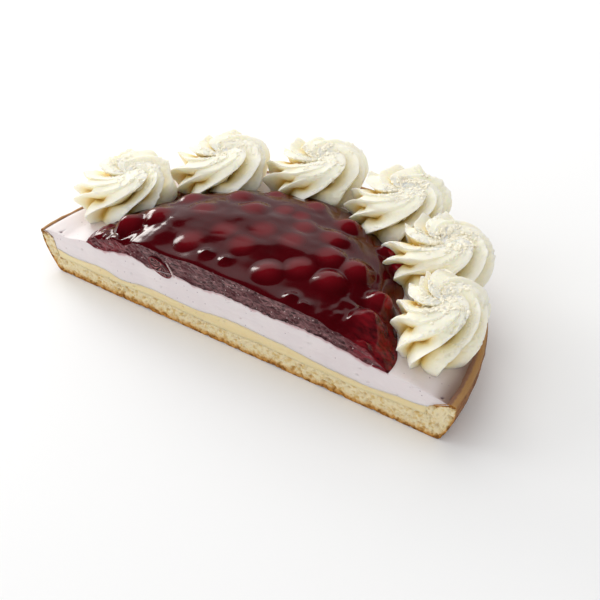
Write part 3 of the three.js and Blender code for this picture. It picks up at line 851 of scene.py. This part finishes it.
def grained(tree, spot, size, detail, strength, depth):
    """The bumps of a fine grain, with its size and depth in metres."""
    fine = add(tree, "TexNoise", {"Vector": spot, "Scale": 1 / size, "Detail": detail})
    return add(tree, "Bump", {"Height": fine, "Strength": strength, "Distance": depth})


def baked_yeast_dough(tree, spot, crumb_colour, baked_colour):
    """Baked yeast dough: pale open crumb on the cut with painted shade in its holes, a golden skin that is
    darker in spots.
    """
    above, below, depth, on_cut, rim = (
        add(tree, "Attribute", attribute_name=mark).outputs["Fac"]
        for mark in ("above_floor", "below_top", "depth", "on_cut", "rim")
    )
    height = add(tree, "SeparateXYZ", {0: spot}).outputs["Z"]
    patches = add(tree, "TexNoise", {"Vector": spot, "Scale": 1 / 0.011, "Detail": 3.0})
    spots = add(tree, "TexNoise", {"Vector": spot, "Scale": 1 / 0.0026, "Detail": 3.0})
    blotches = add(tree, "Math", {0: patches, 1: spots}, operation="ADD")
    wander = add(tree, "Math", {0: patches, 1: 3.4, 2: -2.0}, operation="MULTIPLY_ADD")
    wander, below, edge = (
        add(tree, "Math", {0: spots, 1: sway, 2: mark}, operation="MULTIPLY_ADD")
        for sway, mark in ((3.0, wander), (-4.0, below), (1.6, rim))
    )
    skin = add(tree, "Math", {0: above, 1: wander}, operation="SUBTRACT")
    ranges = {
        "baked": (skin, 1.6, -0.6, 1.0),
        "toasted": (skin, 3.4, 0.6, 0.75),
        "top": (height, 0.0238, 0.0262, 1.0),
        "on_top": (height, 0.0242, 0.0252, 1.0),
        "near_top": (below, 0.2, -0.7, 1.0),
        "on_wall": (rim, 125.0, 128.0, 1.0),
        "line": (edge, 137.2, 138.2, 0.8),
        "holes": (depth, 0.7, 1.9, 0.75),
        "jagged": (spots, 0.46, 0.54, 1.0),
        "yellow": (spots, 0.5, 0.68, 0.7),
        "dark": (spots, 0.42, 0.62, 1.0),
        "darker": (blotches, 0.8, 1.25, 1.0),
    }
    share = {
        name: add(tree, "MapRange", {"Value": value, "From Min": low, "From Max": high, "To Max": most})
        for name, (value, low, high, most) in ranges.items()
    }
    crumb, crumbs = clouded(tree, spot, 0.0012, 4.0, crumb_colour, "#C8A45C", 0.55)
    # The holes get painted shade, deeper holes more; the yellow spots and toasted crumb are the crumb's own
    # colour.
    for part, tint in (("yellow", "#CBA552"), ("holes", "#B78C3E"), ("toasted", "#D2A14C")):
        crumb = add(tree, "Mix", {0: share[part], 6: crumb, 7: solid(tint)}, data_type="RGBA")
    golden, wall, film = (
        add(tree, "Mix", {0: share[part], 6: pale, 7: deep}, data_type="RGBA")
        for part, pale, deep in (
            ("dark", (*baked_colour, 1.0), mixed(baked_colour, "#5A2C08", 0.7)),
            ("darker", solid("#9C6B42"), solid("#6E452A")),
            ("line", solid("#8A6553"), solid("#B58A54")),
        )
    )
    off_cut = add(tree, "Math", {0: 1.0, 1: on_cut}, operation="SUBTRACT")
    ragged_top, corner = (
        add(tree, "Math", {0: share[one], 1: share[other]}, operation="MULTIPLY")
        for one, other in (("top", "jagged"), ("near_top", "on_wall"))
    )
    browned = share["baked"]
    for more in (ragged_top, corner, off_cut):
        browned = add(tree, "Math", {0: browned, 1: more}, operation="MAXIMUM")
    colour = wall
    for part, other in ((share["on_top"], film), (on_cut, golden)):
        colour = add(tree, "Mix", {0: part, 6: colour, 7: other}, data_type="RGBA")
    colour = add(tree, "Mix", {0: browned, 6: crumb, 7: colour}, data_type="RGBA")
    grain = add(tree, "Bump", {"Height": crumbs, "Strength": 0.6, "Distance": 0.0006})
    return {
        "Base Color": colour, "Normal": grain, "Roughness": 0.8, "Subsurface Weight": 0.12,
        "Subsurface Radius": (1.0, 0.6, 0.25), "Subsurface Scale": 0.002, "Specular IOR Level": 0.25,
    }


def set_custard(tree, spot, base):
    """Set vanilla custard: smooth, moist and faintly smeared by the knife."""
    flat = add(tree, "Mapping", {"Vector": spot, "Scale": (1.0, 1.0, 5.0)})
    return {
        "Base Color": clouded(tree, flat, 0.02, 4.0, base, "#D4B468", 0.5)[0], "Roughness": 0.45,
        "Normal": grained(tree, spot, 0.0011, 3.0, 0.25, 0.0004), "Subsurface Weight": 0.3,
        "Subsurface Radius": (1.0, 0.7, 0.3), "Subsurface Scale": 0.003,
    }


def yoghurt_cream(tree, spot, base):
    """Whipped yoghurt cream with berry juice in it: lilac white, matt, with a few dark specks."""
    thin, bleed, painted_pit_shade = (
        add(tree, "Attribute", attribute_name=mark).outputs["Fac"] for mark in ("thin", "bleed", "painted_pit_shade")
    )
    colour, clouds = clouded(tree, spot, 0.016, 4.0, base, "#C6B6BE", 0.45)
    dots = add(tree, "TexVoronoi", {"Vector": spot, "Scale": 1 / 0.0042, "Randomness": 1.0})
    speck = add(tree, "MapRange", {"Value": dots, "From Min": 0.1, "From Max": 0.05})
    stain = add(tree, "Math", {0: bleed, 1: clouds}, operation="MULTIPLY")
    # thin is brown where the crust shows through by the rim, and partly painted shade at the right end.
    for share, tint in ((thin, "#8E7264"), (stain, "#B04A5C"), (painted_pit_shade, "#5E3C4C"), (speck, "#9A8494")):
        colour = add(tree, "Mix", {0: share, 6: colour, 7: solid(tint)}, data_type="RGBA")
    return {
        "Base Color": colour, "Normal": grained(tree, spot, 0.0012, 3.0, 0.3, 0.0004), "Roughness": 0.5,
        "Subsurface Weight": 0.3, "Subsurface Radius": (1.0, 0.8, 0.8), "Subsurface Scale": 0.004,
    }


def cherry_jelly_glaze(tree, spot, depths, over_cherry):
    """Cherry jelly: wet and almost black red where it is deep, brown red where it runs thin, clear red over a
    cherry; the cut is dull mauve with pale fibres and pale flecks of painted highlight."""
    thick, cover, on_cut, tip = (
        add(tree, "Attribute", attribute_name=mark).outputs["Fac"]
        for mark in ("above_floor", "cover", "on_cut", "tip")
    )
    run = add(tree, "Mapping", {"Vector": spot, "Rotation": (0, 0, 0.5), "Scale": (0.35, 1.3, 1.0)})
    slant = add(tree, "Mapping", {"Vector": spot, "Rotation": (0, 0.55, 0), "Scale": (1.0, 1.0, 3.0)})
    streaks, fibres, blotches, fine = (
        add(tree, "TexNoise", {"Vector": way, "Scale": 1 / size, "Detail": detail, "Roughness": rough})
        for way, size, detail, rough in (
            (run, 0.0028, 3.0, 0.5),
            (slant, 0.004, 5.0, 0.7),
            (slant, 0.018, 4.0, 0.5),
            (slant, 0.0016, 3.0, 0.5),
        )
    )
    dots = add(tree, "TexVoronoi", {"Vector": spot, "Scale": 1 / 0.0024, "Randomness": 1.0})
    thinned = add(tree, "Math", {0: tip, 1: 4.0, 2: thick}, operation="MULTIPLY_ADD")
    ranges = {
        "thin": (thinned, 3.4, 1.0, 1.0),
        "streak": (streaks, 0.35, 0.65, 1.0),
        "torn": (fibres, 0.4, 0.62, 1.0),
        "blotch": (blotches, 0.47, 0.58, 0.85),
        "painted_glint": (dots, 0.17, 0.08, 1.0),
    }
    share = {
        name: add(tree, "MapRange", {"Value": value, "From Min": low, "From Max": high, "To Max": most})
        for name, (value, low, high, most) in ranges.items()
    }
    red_end = add(tree, "Math", {0: tip, 1: share["streak"]}, operation="MULTIPLY")
    bright, flesh = (
        add(tree, "Mix", {0: share[part], 6: solid(one), 7: solid(other)}, data_type="RGBA")
        for part, one, other in (("streak", "#7E0C18", "#42040C"), ("torn", "#2E060C", "#926466"))
    )
    glaze = clouded(tree, spot, 0.009, 3.0, depths, "#1A0002", 0.6)[0]
    for part, tint in ((cover, (*over_cherry, 1.0)), (tip, bright), (share["thin"], solid("#6A3420"))):
        glaze = add(tree, "Mix", {0: part, 6: glaze, 7: tint}, data_type="RGBA")
    # The pale flecks on the cut are painted highlights of wet glints.
    for part, tint in ((share["blotch"], "#4E0A18"), (red_end, "#8C1226"), (share["painted_glint"], "#C9B2B0")):
        flesh = add(tree, "Mix", {0: part, 6: flesh, 7: solid(tint)}, data_type="RGBA")
    colour = add(tree, "Mix", {0: on_cut, 6: glaze, 7: flesh}, data_type="RGBA")
    dull = add(tree, "Math", {0: tip, 1: 0.5, 2: on_cut}, operation="MULTIPLY_ADD")
    rough = add(tree, "MapRange", {"Value": dull, "To Min": 0.15, "To Max": 0.36})
    uneven = add(tree, "Math", {0: fine, 1: on_cut}, operation="MULTIPLY")
    grain = add(tree, "Bump", {"Height": uneven, "Strength": 0.6, "Distance": 0.0006})
    return {"Base Color": colour, "Normal": grain, "Roughness": rough, "IOR": 1.42, "Specular IOR Level": 0.5}


def syrup_cherry(tree, spot, skin):
    """Stoned cherries in syrup: clear deep red skin, wet with jelly, darker in places."""
    return {
        "Base Color": clouded(tree, spot, 0.006, 3.0, skin, "#3A0006", 0.5)[0], "Roughness": 0.1, "IOR": 1.42,
        "Subsurface Weight": 0.1, "Subsurface Radius": (1.0, 0.15, 0.1), "Subsurface Scale": 0.002,
    }


def halved_cherry(tree, spot):
    """The cut flesh of a preserved cherry: plum, with paler veins and a red rim of skin."""
    vein, rind = (
        add(tree, "Attribute", attribute_name=mark).outputs["Fac"] for mark in ("vein", "rind")
    )
    fine = add(tree, "TexNoise", {"Vector": spot, "Scale": 1 / 0.002, "Detail": 4.0})
    veins = add(tree, "Math", {0: vein, 1: -0.5, 2: fine}, operation="MULTIPLY_ADD")
    colour = solid("#28060A")
    for value, low, tint in ((veins, 0.35, "#A87070"), (rind, 0.86, "#7A0A1C")):
        share = add(tree, "MapRange", {"Value": value, "From Min": low})
        colour = add(tree, "Mix", {0: share, 6: colour, 7: solid(tint)}, data_type="RGBA")
    return {
        "Base Color": colour, "Roughness": 0.3, "Specular IOR Level": 0.35, "Subsurface Weight": 0.1,
        "Subsurface Radius": (1.0, 0.2, 0.2), "Subsurface Scale": 0.001,
    }


def fruit_fibre(tree, spot):
    """A strand of fruit fibre coated with cream: pinkish white and soft."""
    colour = clouded(tree, spot, 0.002, 3.0, linear("#E2D2CE"), "#B48C8C", 1)[0]
    return {"Base Color": colour, "Roughness": 0.45}


def piped_whipped_cream(tree, spot, base):
    """Piped whipped cream: ivory, soft and matt, with painted warm yellow shade down in the folds."""
    painted_fold_shade = add(tree, "Attribute", attribute_name="painted_fold_shade").outputs["Fac"]
    colour = clouded(tree, spot, 0.012, 3.0, base, "#F0DEAE", 0.3)[0]
    # Painted shade: the folds are tinted warmer and yellower, most in their bottoms.
    for low, high, tint in ((0.28, 0.74, "#F3E1A2"), (0.6, 0.92, "#DDB950")):
        share = add(tree, "MapRange", {"Value": painted_fold_shade, "From Min": low, "From Max": high, "To Max": 0.9})
        colour = add(tree, "Mix", {0: share, 6: colour, 7: solid(tint)}, data_type="RGBA")
    return {
        "Base Color": colour, "Normal": grained(tree, spot, 0.0011, 4.0, 0.35, 0.0005), "Roughness": 0.6,
        "Subsurface Weight": 0.6, "Subsurface Radius": (1.0, 0.86, 0.56), "Subsurface Scale": 0.006,
        "Specular IOR Level": 0.3,
    }


def white_chocolate_flake(tree, spot, base):
    """Grated white chocolate: pale cream chips with a slightly waxy face."""
    colour = clouded(tree, spot, 0.003, 2.0, base, "#EFE2B8", 0.35)[0]
    return {"Base Color": colour, "Roughness": 0.6, "Specular IOR Level": 0.3}


def white_paper(tree, spot):
    """Matt white paper."""
    colour = clouded(tree, spot, 0.3, 2.0, linear("#FBFBFB"), "#F8F8F8", 1)[0]
    return {"Base Color": colour, "Roughness": 0.9, "Specular IOR Level": 0.1}


# ---- geometry nodes ----
CHERRY_SEED = 5
FLAKE_SEED = 9


def node_group(name, inputs):
    """An empty tree of geometry nodes with named inputs, as (socket type, name, value)."""
    tree = bpy.data.node_groups.new(name, "GeometryNodeTree")
    tree.interface.new_socket("Geometry", in_out="INPUT", socket_type="NodeSocketGeometry")
    tree.interface.new_socket("Geometry", in_out="OUTPUT", socket_type="NodeSocketGeometry")
    for kind, label, value in inputs:
        tree.interface.new_socket(label, in_out="INPUT", socket_type=kind).default_value = value
    return tree


def grown_mesh(name, seedbed, tree, values):
    """Runs a tree on a seedbed mesh and returns the result as a plain object."""
    piece = new_object(name, seedbed)
    modifier = piece.modifiers.new(name, "NODES")
    modifier.node_group = tree
    for item in tree.interface.items_tree:
        if item.in_out == "INPUT" and item.name in values:
            modifier[item.identifier] = values[item.name]
    evaluated = piece.evaluated_get(bpy.context.evaluated_depsgraph_get())
    mesh = bpy.data.meshes.new_from_object(evaluated)
    mesh.name = name
    piece.modifiers.clear()
    piece.data = mesh
    return piece


def cherry_tree(material):
    """Puts a slightly lumpy ball on each point, as large as the point says."""
    tree = node_group("cherries_on_points", [
        ("NodeSocketFloat", "Lump height", 0.0005),
        ("NodeSocketFloat", "Lump size", 0.008),
        ("NodeSocketInt", "Seed", CHERRY_SEED),
    ])
    source = add(tree, "NodeGroupInput")
    size = add(tree, "GeometryNodeInputNamedAttribute", {"Name": "size"}, data_type="FLOAT")
    ball = add(tree, "GeometryNodeMeshIcoSphere", {"Radius": 1.0, "Subdivisions": 5})
    turn = add(tree, "FunctionNodeRandomValue", {
        0: (0.0, 0.0, 0.0), 1: (0.5, 0.5, 6.28), "Seed": source.outputs["Seed"],
    }, data_type="FLOAT_VECTOR")
    spots = add(tree, "GeometryNodeMeshToPoints", {"Mesh": source.outputs["Geometry"]})
    balls = add(tree, "GeometryNodeInstanceOnPoints", {
        "Points": spots, "Instance": ball, "Rotation": turn, "Scale": size,
    })
    real = add(tree, "GeometryNodeRealizeInstances", {"Geometry": balls})
    where = add(tree, "GeometryNodeInputPosition")
    scale = add(tree, "Math", {0: 1.0, 1: source.outputs["Lump size"]}, operation="DIVIDE")
    noise = add(tree, "TexNoise", {"Vector": where, "Scale": scale, "Detail": 1.0})
    lift = add(tree, "Math", {0: noise, 1: 0.5}, operation="SUBTRACT")
    lift = add(tree, "Math", {0: lift, 1: source.outputs["Lump height"]}, operation="MULTIPLY")
    facing = add(tree, "GeometryNodeInputNormal")
    offset = add(tree, "VectorMath", {0: facing, "Scale": lift}, operation="SCALE")
    shaped = add(tree, "GeometryNodeSetPosition", {"Geometry": real, "Offset": offset})
    painted = add(tree, "GeometryNodeSetMaterial", {"Geometry": shaped, "Material": material})
    add(tree, "NodeGroupOutput", {"Geometry": painted})
    return tree


def flake_tree(material):
    """Scatters small angular chips where the crown attribute says."""
    tree = node_group("flakes_on_crowns", [
        ("NodeSocketFloat", "Flakes per square metre", 3.0e5),
        ("NodeSocketFloat", "Smallest flake", 0.0005),
        ("NodeSocketFloat", "Largest flake", 0.0014),
        ("NodeSocketInt", "Seed", FLAKE_SEED),
    ])
    source = add(tree, "NodeGroupInput")
    crown = add(tree, "GeometryNodeInputNamedAttribute", {"Name": "crown"}, data_type="FLOAT")
    most = source.outputs["Flakes per square metre"]
    density = add(tree, "Math", {0: crown, 1: most}, operation="MULTIPLY")
    spots = add(tree, "GeometryNodeDistributePointsOnFaces", {
        "Mesh": source.outputs["Geometry"], "Density": density, "Seed": source.outputs["Seed"],
    })
    chip = add(tree, "GeometryNodeMeshIcoSphere", {"Radius": 1.0, "Subdivisions": 1})
    tilt, shape = (
        add(tree, "FunctionNodeRandomValue", {0: low, 1: high, "Seed": seed}, data_type="FLOAT_VECTOR")
        for low, high, seed in (
            ((-0.35, -0.35, 0.0), (0.35, 0.35, 6.28), 3),
            ((0.7, 0.6, 0.3), (1.5, 1.1, 0.6), 6),
        )
    )
    lying = {0: spots.outputs["Rotation"], 1: tilt}
    turn = add(tree, "FunctionNodeRotateRotation", lying, rotation_space="LOCAL")
    size = add(tree, "FunctionNodeRandomValue", {
        2: source.outputs["Smallest flake"], 3: source.outputs["Largest flake"], "Seed": 4,
    }, data_type="FLOAT")
    sized = add(tree, "VectorMath", {0: shape, "Scale": size}, operation="SCALE")
    chips = add(tree, "GeometryNodeInstanceOnPoints", {
        "Points": spots, "Instance": chip, "Rotation": turn, "Scale": sized,
    })
    real = add(tree, "GeometryNodeRealizeInstances", {"Geometry": chips})
    painted = add(tree, "GeometryNodeSetMaterial", {"Geometry": real, "Material": material})
    add(tree, "NodeGroupOutput", {"Geometry": painted})
    return tree


# ---- operators ----
LEAST_CROWN = 0.05          # faces whose corners' crown marks add up to less stay bare
CM2_TO_A_M2 = 1e4


class FLAN_OT_crust(bpy.types.Operator):
    """Bakes the crust, its base and wall in one"""
    bl_idname = "flan.crust"
    bl_label = "Bake the crust"

    def execute(self, context):
        points, triangles, marks = half_shell(*crust_surfaces(), CRUST_ROWS, crumb_depth)
        marks["rim"] = round_centre(points)[0]
        flan = context.scene.flan
        look = new_material(baked_yeast_dough, flan.crumb, flan.crust)
        piece = new_piece("crust_baked", points, triangles, marks, look)
        serve(piece, ["crust"])
        return {"FINISHED"}


class FLAN_OT_custard(bpy.types.Operator):
    """Spreads the custard on the base"""
    bl_idname = "flan.custard"
    bl_label = "Spread the custard"

    def execute(self, context):
        look = new_material(set_custard, context.scene.flan.custard)
        layer = half_shell(*custard_surfaces(), CUSTARD_ROWS, custard_depth)
        piece = new_piece("custard_layer", *layer, look)
        serve(piece, ["custard"])
        return {"FINISHED"}


class FLAN_OT_cream(bpy.types.Operator):
    """Spreads the yoghurt cream up to the rim"""
    bl_idname = "flan.cream"
    bl_label = "Spread the cream"

    def execute(self, context):
        points, triangles, marks = half_shell(*cream_surfaces(), CREAM_ROWS, cream_depth)
        radius, angle = round_centre(points)
        # Next to the rim the cream is thin and the crust shows through; the brown band is wider at the right
        # end, where it is partly painted shade of the rosettes.
        inwards = wall_top(angle) - radius + lumps(points, 6, 38) * 0.8
        marks["thin"] = smoothstep(inwards, blend(2.5, 11, angle), 0) * (1 - marks["on_cut"] * 0.7)
        # Under the jelly its juice has soaked a little way into the cut.
        under_jelly = smoothstep(np.abs(points[:, 0] - 2), 104, 98)
        soaked = 1.6 + lumps(points, 4, 39) * 1.3
        marks["bleed"] = smoothstep(marks["below_top"] / soaked, 1, 0) * under_jelly * marks["on_cut"]
        # The pits are painted dark, as shade in them.
        marks["painted_pit_shade"] = cream_pits(points) * smoothstep(marks["below_top"], 0.5, 0.1)
        look = new_material(yoghurt_cream, context.scene.flan.cream)
        piece = new_piece("yoghurt_cream", points, triangles, marks, look)
        serve(piece, ["cream_layer"])
        return {"FINISHED"}


class FLAN_OT_jelly(bpy.types.Operator):
    """Pours the mound of cherry jelly"""
    bl_idname = "flan.jelly"
    bl_label = "Pour the jelly"

    def execute(self, context):
        points, triangles, marks = half_shell(*jelly_surfaces(), JELLY_ROWS, jelly_depth)
        x, y, _ = points.T
        marks["cover"] = jelly_height(points * np.array([1, 1, 0]), *round_centre(points))[1]
        tip = smoothstep(np.abs(x + 2), 78, 94) * smoothstep(y, 34, 18)
        marks["tip"] = np.maximum(tip, marks["on_cut"] * smoothstep(-x, 48, 80) * 0.8)
        flan = context.scene.flan
        look = new_material(cherry_jelly_glaze, flan.jelly, flan.over_cherry)
        piece = new_piece("jelly_mound", points, triangles, marks, look)
        serve(piece, ["cherry_jelly"])
        return {"FINISHED"}


class FLAN_OT_cherries(bpy.types.Operator):
    """Sets the whole cherries in the jelly"""
    bl_idname = "flan.cherries"
    bl_label = "Set the cherries"

    def execute(self, context):
        flan = context.scene.flan
        seedbed = bpy.data.meshes.new("cherry_places")
        seedbed.from_pydata(place([centre for centre, _ in CHERRY_BALLS]).tolist(), [], [])
        sizes = [(ball - CHERRY_SKIN) * MM for _, ball in CHERRY_BALLS]
        seedbed.attributes.new("size", "FLOAT", "POINT").data.foreach_set("value", sizes)
        tree = cherry_tree(new_material(syrup_cherry, flan.cherry))
        values = {"Lump height": flan.cherry_lump_height, "Lump size": flan.cherry_lump_size}
        values["Seed"] = CHERRY_SEED
        piece = grown_mesh("cherries", seedbed, tree, values)
        piece.data.shade_smooth()
        serve(piece, WHOLE_CHERRIES)
        return {"FINISHED"}


class FLAN_OT_cut_cherry(bpy.types.Operator):
    """Lays the halved cherry and the strand beside it in the cut"""
    bl_idname = "flan.cut_cherry"
    bl_label = "Lay the halved cherry"

    def execute(self, context):
        piece = new_piece("cherry_halved", *cut_cherry_mesh(), new_material(halved_cherry))
        serve(piece, ["cherry_01"])
        strand = new_piece("fruit_strand", *strand_mesh(), new_material(fruit_fibre))
        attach(strand, "root")
        return {"FINISHED"}


class FLAN_OT_rosettes(bpy.types.Operator):
    """Pipes the rosettes along the rim"""
    bl_idname = "flan.rosettes"
    bl_label = "Pipe the rosettes"

    def execute(self, context):
        flan = context.scene.flan
        look = new_material(piped_whipped_cream, flan.whipped_cream)
        for index in range(len(ROSETTES)):
            piece = rosette_piece(index, flan.rosette_radius / MM, flan.rosette_height / MM, look)
            serve(piece, [f"rosette_{index + 1}"])
        return {"FINISHED"}


class FLAN_OT_flakes(bpy.types.Operator):
    """Strews the white flakes on the crowns of the rosettes"""
    bl_idname = "flan.flakes"
    bl_label = "Strew the flakes"

    def execute(self, context):
        flan = context.scene.flan
        points, faces, crowns, first = [], [], [], 0
        for index in range(len(ROSETTES)):
            mesh = bpy.data.objects[f"rosette_cream_{index + 1}"].data
            points += [vertex.co[:] for vertex in mesh.vertices]
            crowns += [value.value for value in mesh.attributes["crown"].data]
            faces += [[first + corner for corner in polygon.vertices] for polygon in mesh.polygons]
            first += len(mesh.vertices)
        crown_faces = [face for face in faces if sum(crowns[corner] for corner in face) > LEAST_CROWN]
        seedbed = bpy.data.meshes.new("crown_patches")
        seedbed.from_pydata(points, [], crown_faces)
        seedbed.attributes.new("crown", "FLOAT", "POINT").data.foreach_set("value", crowns)
        tree = flake_tree(new_material(white_chocolate_flake, flan.flake))
        values = {
            "Flakes per square metre": flan.flakes * CM2_TO_A_M2, "Smallest flake": flan.smallest_flake,
            "Largest flake": flan.largest_flake, "Seed": FLAKE_SEED,
        }
        piece = grown_mesh("rosette_flakes", seedbed, tree, values)
        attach(piece, "root")
        return {"FINISHED"}


# ---- stage, in metres ----
FLOOR_HALF = 6.0            # half the floor's width
FLOOR_DROP = 0.0002         # keeps the floor clear of the flan's underside
ROOM_LIGHT = 0.66
# Soft light panels: name, place, what it faces, size, power, colour, seen in reflections, own turn.
PANELS = [
    ("back_panel", (-0.65, 0.825, 0.57), (0, 0, 0.57), (1.7, 1.06), 3.6, "#FFFFFF", True, 19),
    ("key_panel", (-1.0, 0.33, 0.36), (0, 0, 0.03), (0.4, 0.34), 3.6, "#FFFDF8", True, 0),
    ("top_panel", (-0.5, 0.5, 1.4), (0, 0, 0), (0.9, 0.9), 5.0, "#FFFFFF", False, 0),
    ("side_panel", (-1.3, -0.5, 0.8), (0, 0, 0), (0.8, 0.8), 4.0, "#FFFFFF", False, 0),
    ("front_panel", (-0.2, -1.4, 0.5), (0, 0, 0.02), (1.4, 0.8), 2.6, "#FFFFFF", True, 0),
]


def add_panel(name, spot, target, size, energy, colour, shines, roll):
    """A soft light panel that faces its target, turned about that line by roll degrees."""
    data = bpy.data.lights.new(name, "AREA")
    data.shape = "RECTANGLE"
    data.size, data.size_y = size
    data.energy = energy
    data.color = linear(colour)
    light = new_object(name, data)
    light.location = spot
    facing = (Vector(target) - Vector(spot)).to_track_quat("-Z", "Y").to_matrix()
    light.rotation_euler = (facing @ Matrix.Rotation(math.radians(roll), 3, "Z")).to_euler()
    light.visible_glossy = shines


# ---- camera: where the flan is seen from, in radians and in mm round its centre ----
CAMERA_AZIMUTH = 0.6689
CAMERA_ELEVATION = 0.6693
CAMERA_ROLL = -0.0795
CAMERA_DISTANCE = 492.24
CAMERA_TARGET = (13.944, 52.514, 0.0)
CAMERA_LENS = 51.3


def add_camera():
    """The camera, turned about its line of sight by its roll."""
    across, along = math.sin(CAMERA_AZIMUTH), math.cos(CAMERA_AZIMUTH)
    level = math.cos(CAMERA_ELEVATION)
    back = Vector((across * level, -along * level, math.sin(CAMERA_ELEVATION)))
    right = Vector((along, across, 0))
    up = back.cross(right)
    side = right * math.cos(CAMERA_ROLL) + up * math.sin(CAMERA_ROLL)
    top = up * math.cos(CAMERA_ROLL) - right * math.sin(CAMERA_ROLL)
    data = bpy.data.cameras.new("camera")
    data.sensor_width = 36
    data.lens = CAMERA_LENS
    data.clip_start, data.clip_end = 0.01, 20
    camera = new_object("camera", data)
    turned = Matrix([side, top, back]).transposed().to_4x4()
    turned.translation = Vector(place(np.array(CAMERA_TARGET) + CAMERA_DISTANCE * np.array(back)))
    camera.matrix_world = turned
    bpy.context.scene.camera = camera


class FLAN_OT_stage(bpy.types.Operator):
    """Lays the pale floor and sets up the soft light and the camera"""
    bl_idname = "flan.stage"
    bl_label = "Set the stage"

    def execute(self, context):
        mesh = bpy.data.meshes.new("floor")
        sides = ((-1, -1), (1, -1), (1, 1), (-1, 1))
        corners = [(x * FLOOR_HALF, y * FLOOR_HALF, -FLOOR_DROP) for x, y in sides]
        mesh.from_pydata(corners, [], [(0, 1, 2, 3)])
        mesh.materials.append(new_material(white_paper))
        floor = new_object("floor", mesh)
        world = bpy.data.worlds.new("soft_room")
        world.use_nodes = True
        room = world.node_tree.nodes["Background"].inputs
        room["Color"].default_value = solid("#FFFFFF")
        room["Strength"].default_value = ROOM_LIGHT
        world.cycles_visibility.glossy = False
        context.scene.world = world
        for panel in PANELS:
            add_panel(*panel)
        context.scene.view_settings.view_transform = "Standard"
        add_camera()
        return {"FINISHED"}


def length(name, description, default, low):
    """A length property, with its default and least value in mm."""
    return bpy.props.FloatProperty(name=name, description=description, default=default * MM, min=low * MM,
                                   precision=4, subtype="DISTANCE", unit="LENGTH")


def paint(name, description, hex_colour):
    """A colour property, with its default as an sRGB hex value."""
    return bpy.props.FloatVectorProperty(name=name, description=description, default=linear(hex_colour),
                                         size=3, min=0, max=1, subtype="COLOR")


class FlanSettings(bpy.types.PropertyGroup):
    """The sizes and colours that a user of the add-on would change"""
    rosette_radius: length("Rosette radius", "From a rosette's crown to the tips of its petals", 31, 10)
    rosette_height: length("Rosette height", "From the cream to a rosette's crown", 27.5, 5)
    cherry_lump_height: length("Cherry lump height", "How uneven a cherry's skin is", 0.5, 0)
    cherry_lump_size: length("Cherry lump size", "Width of the lumps in a cherry's skin", 8, 1)
    smallest_flake: length("Smallest flake", "Half width of the smallest flake", 0.5, 0.2)
    largest_flake: length("Largest flake", "Half width of the largest flake", 1.4, 0.2)
    flakes: bpy.props.FloatProperty(
        name="Flakes", description="Flakes to a square centimetre of crown", default=30, min=0)
    crumb: paint("Crumb", "Pale inside of the crust", "#F0E6C4")
    crust: paint("Crust", "Browned edge of the crumb", "#C08436")
    custard: paint("Custard", "Set vanilla custard", "#EDDCB0")
    cream: paint("Cream", "Yoghurt cream", "#EAE2E1")
    jelly: paint("Jelly", "Cherry jelly where it is deep", "#50020A")
    over_cherry: paint("Jelly over a cherry", "Cherry jelly where a cherry lies close under it", "#680812")
    cherry: paint("Cherry", "Skin of the whole cherries", "#8E0A18")
    whipped_cream: paint("Whipped cream", "Cream of the rosettes", "#FDF8E7")
    flake: paint("Flake", "Flakes of white chocolate", "#FFFAEA")


class FLAN_PT_panel(bpy.types.Panel):
    """Lists the steps of making the flan"""
    bl_idname = "FLAN_PT_panel"
    bl_label = "Cherry cream flan"
    bl_space_type = "VIEW_3D"
    bl_region_type = "UI"
    bl_category = "Flan"

    def draw(self, context):
        for name in FlanSettings.__annotations__:
            self.layout.prop(context.scene.flan, name)
        for step in STEPS:
            self.layout.operator(step.bl_idname)


STEPS = [FLAN_OT_crust, FLAN_OT_custard, FLAN_OT_cream, FLAN_OT_jelly, FLAN_OT_cherries, FLAN_OT_cut_cherry,
         FLAN_OT_rosettes, FLAN_OT_flakes, FLAN_OT_stage]
CLASSES = [FlanSettings, *STEPS, FLAN_PT_panel]


def register():
    for entry in CLASSES:
        bpy.utils.register_class(entry)
    bpy.types.Scene.flan = bpy.props.PointerProperty(type=FlanSettings)


def unregister():
    del bpy.types.Scene.flan
    for entry in reversed(CLASSES):
        bpy.utils.unregister_class(entry)


def main():
    register()
    bpy.ops.flan.crust()
    bpy.ops.flan.custard()
    bpy.ops.flan.cream()
    bpy.ops.flan.jelly()
    bpy.ops.flan.cherries()
    bpy.ops.flan.cut_cherry()
    bpy.ops.flan.rosettes()
    bpy.ops.flan.flakes()
    bpy.ops.flan.stage()


if __name__ == "__main__":
    main()
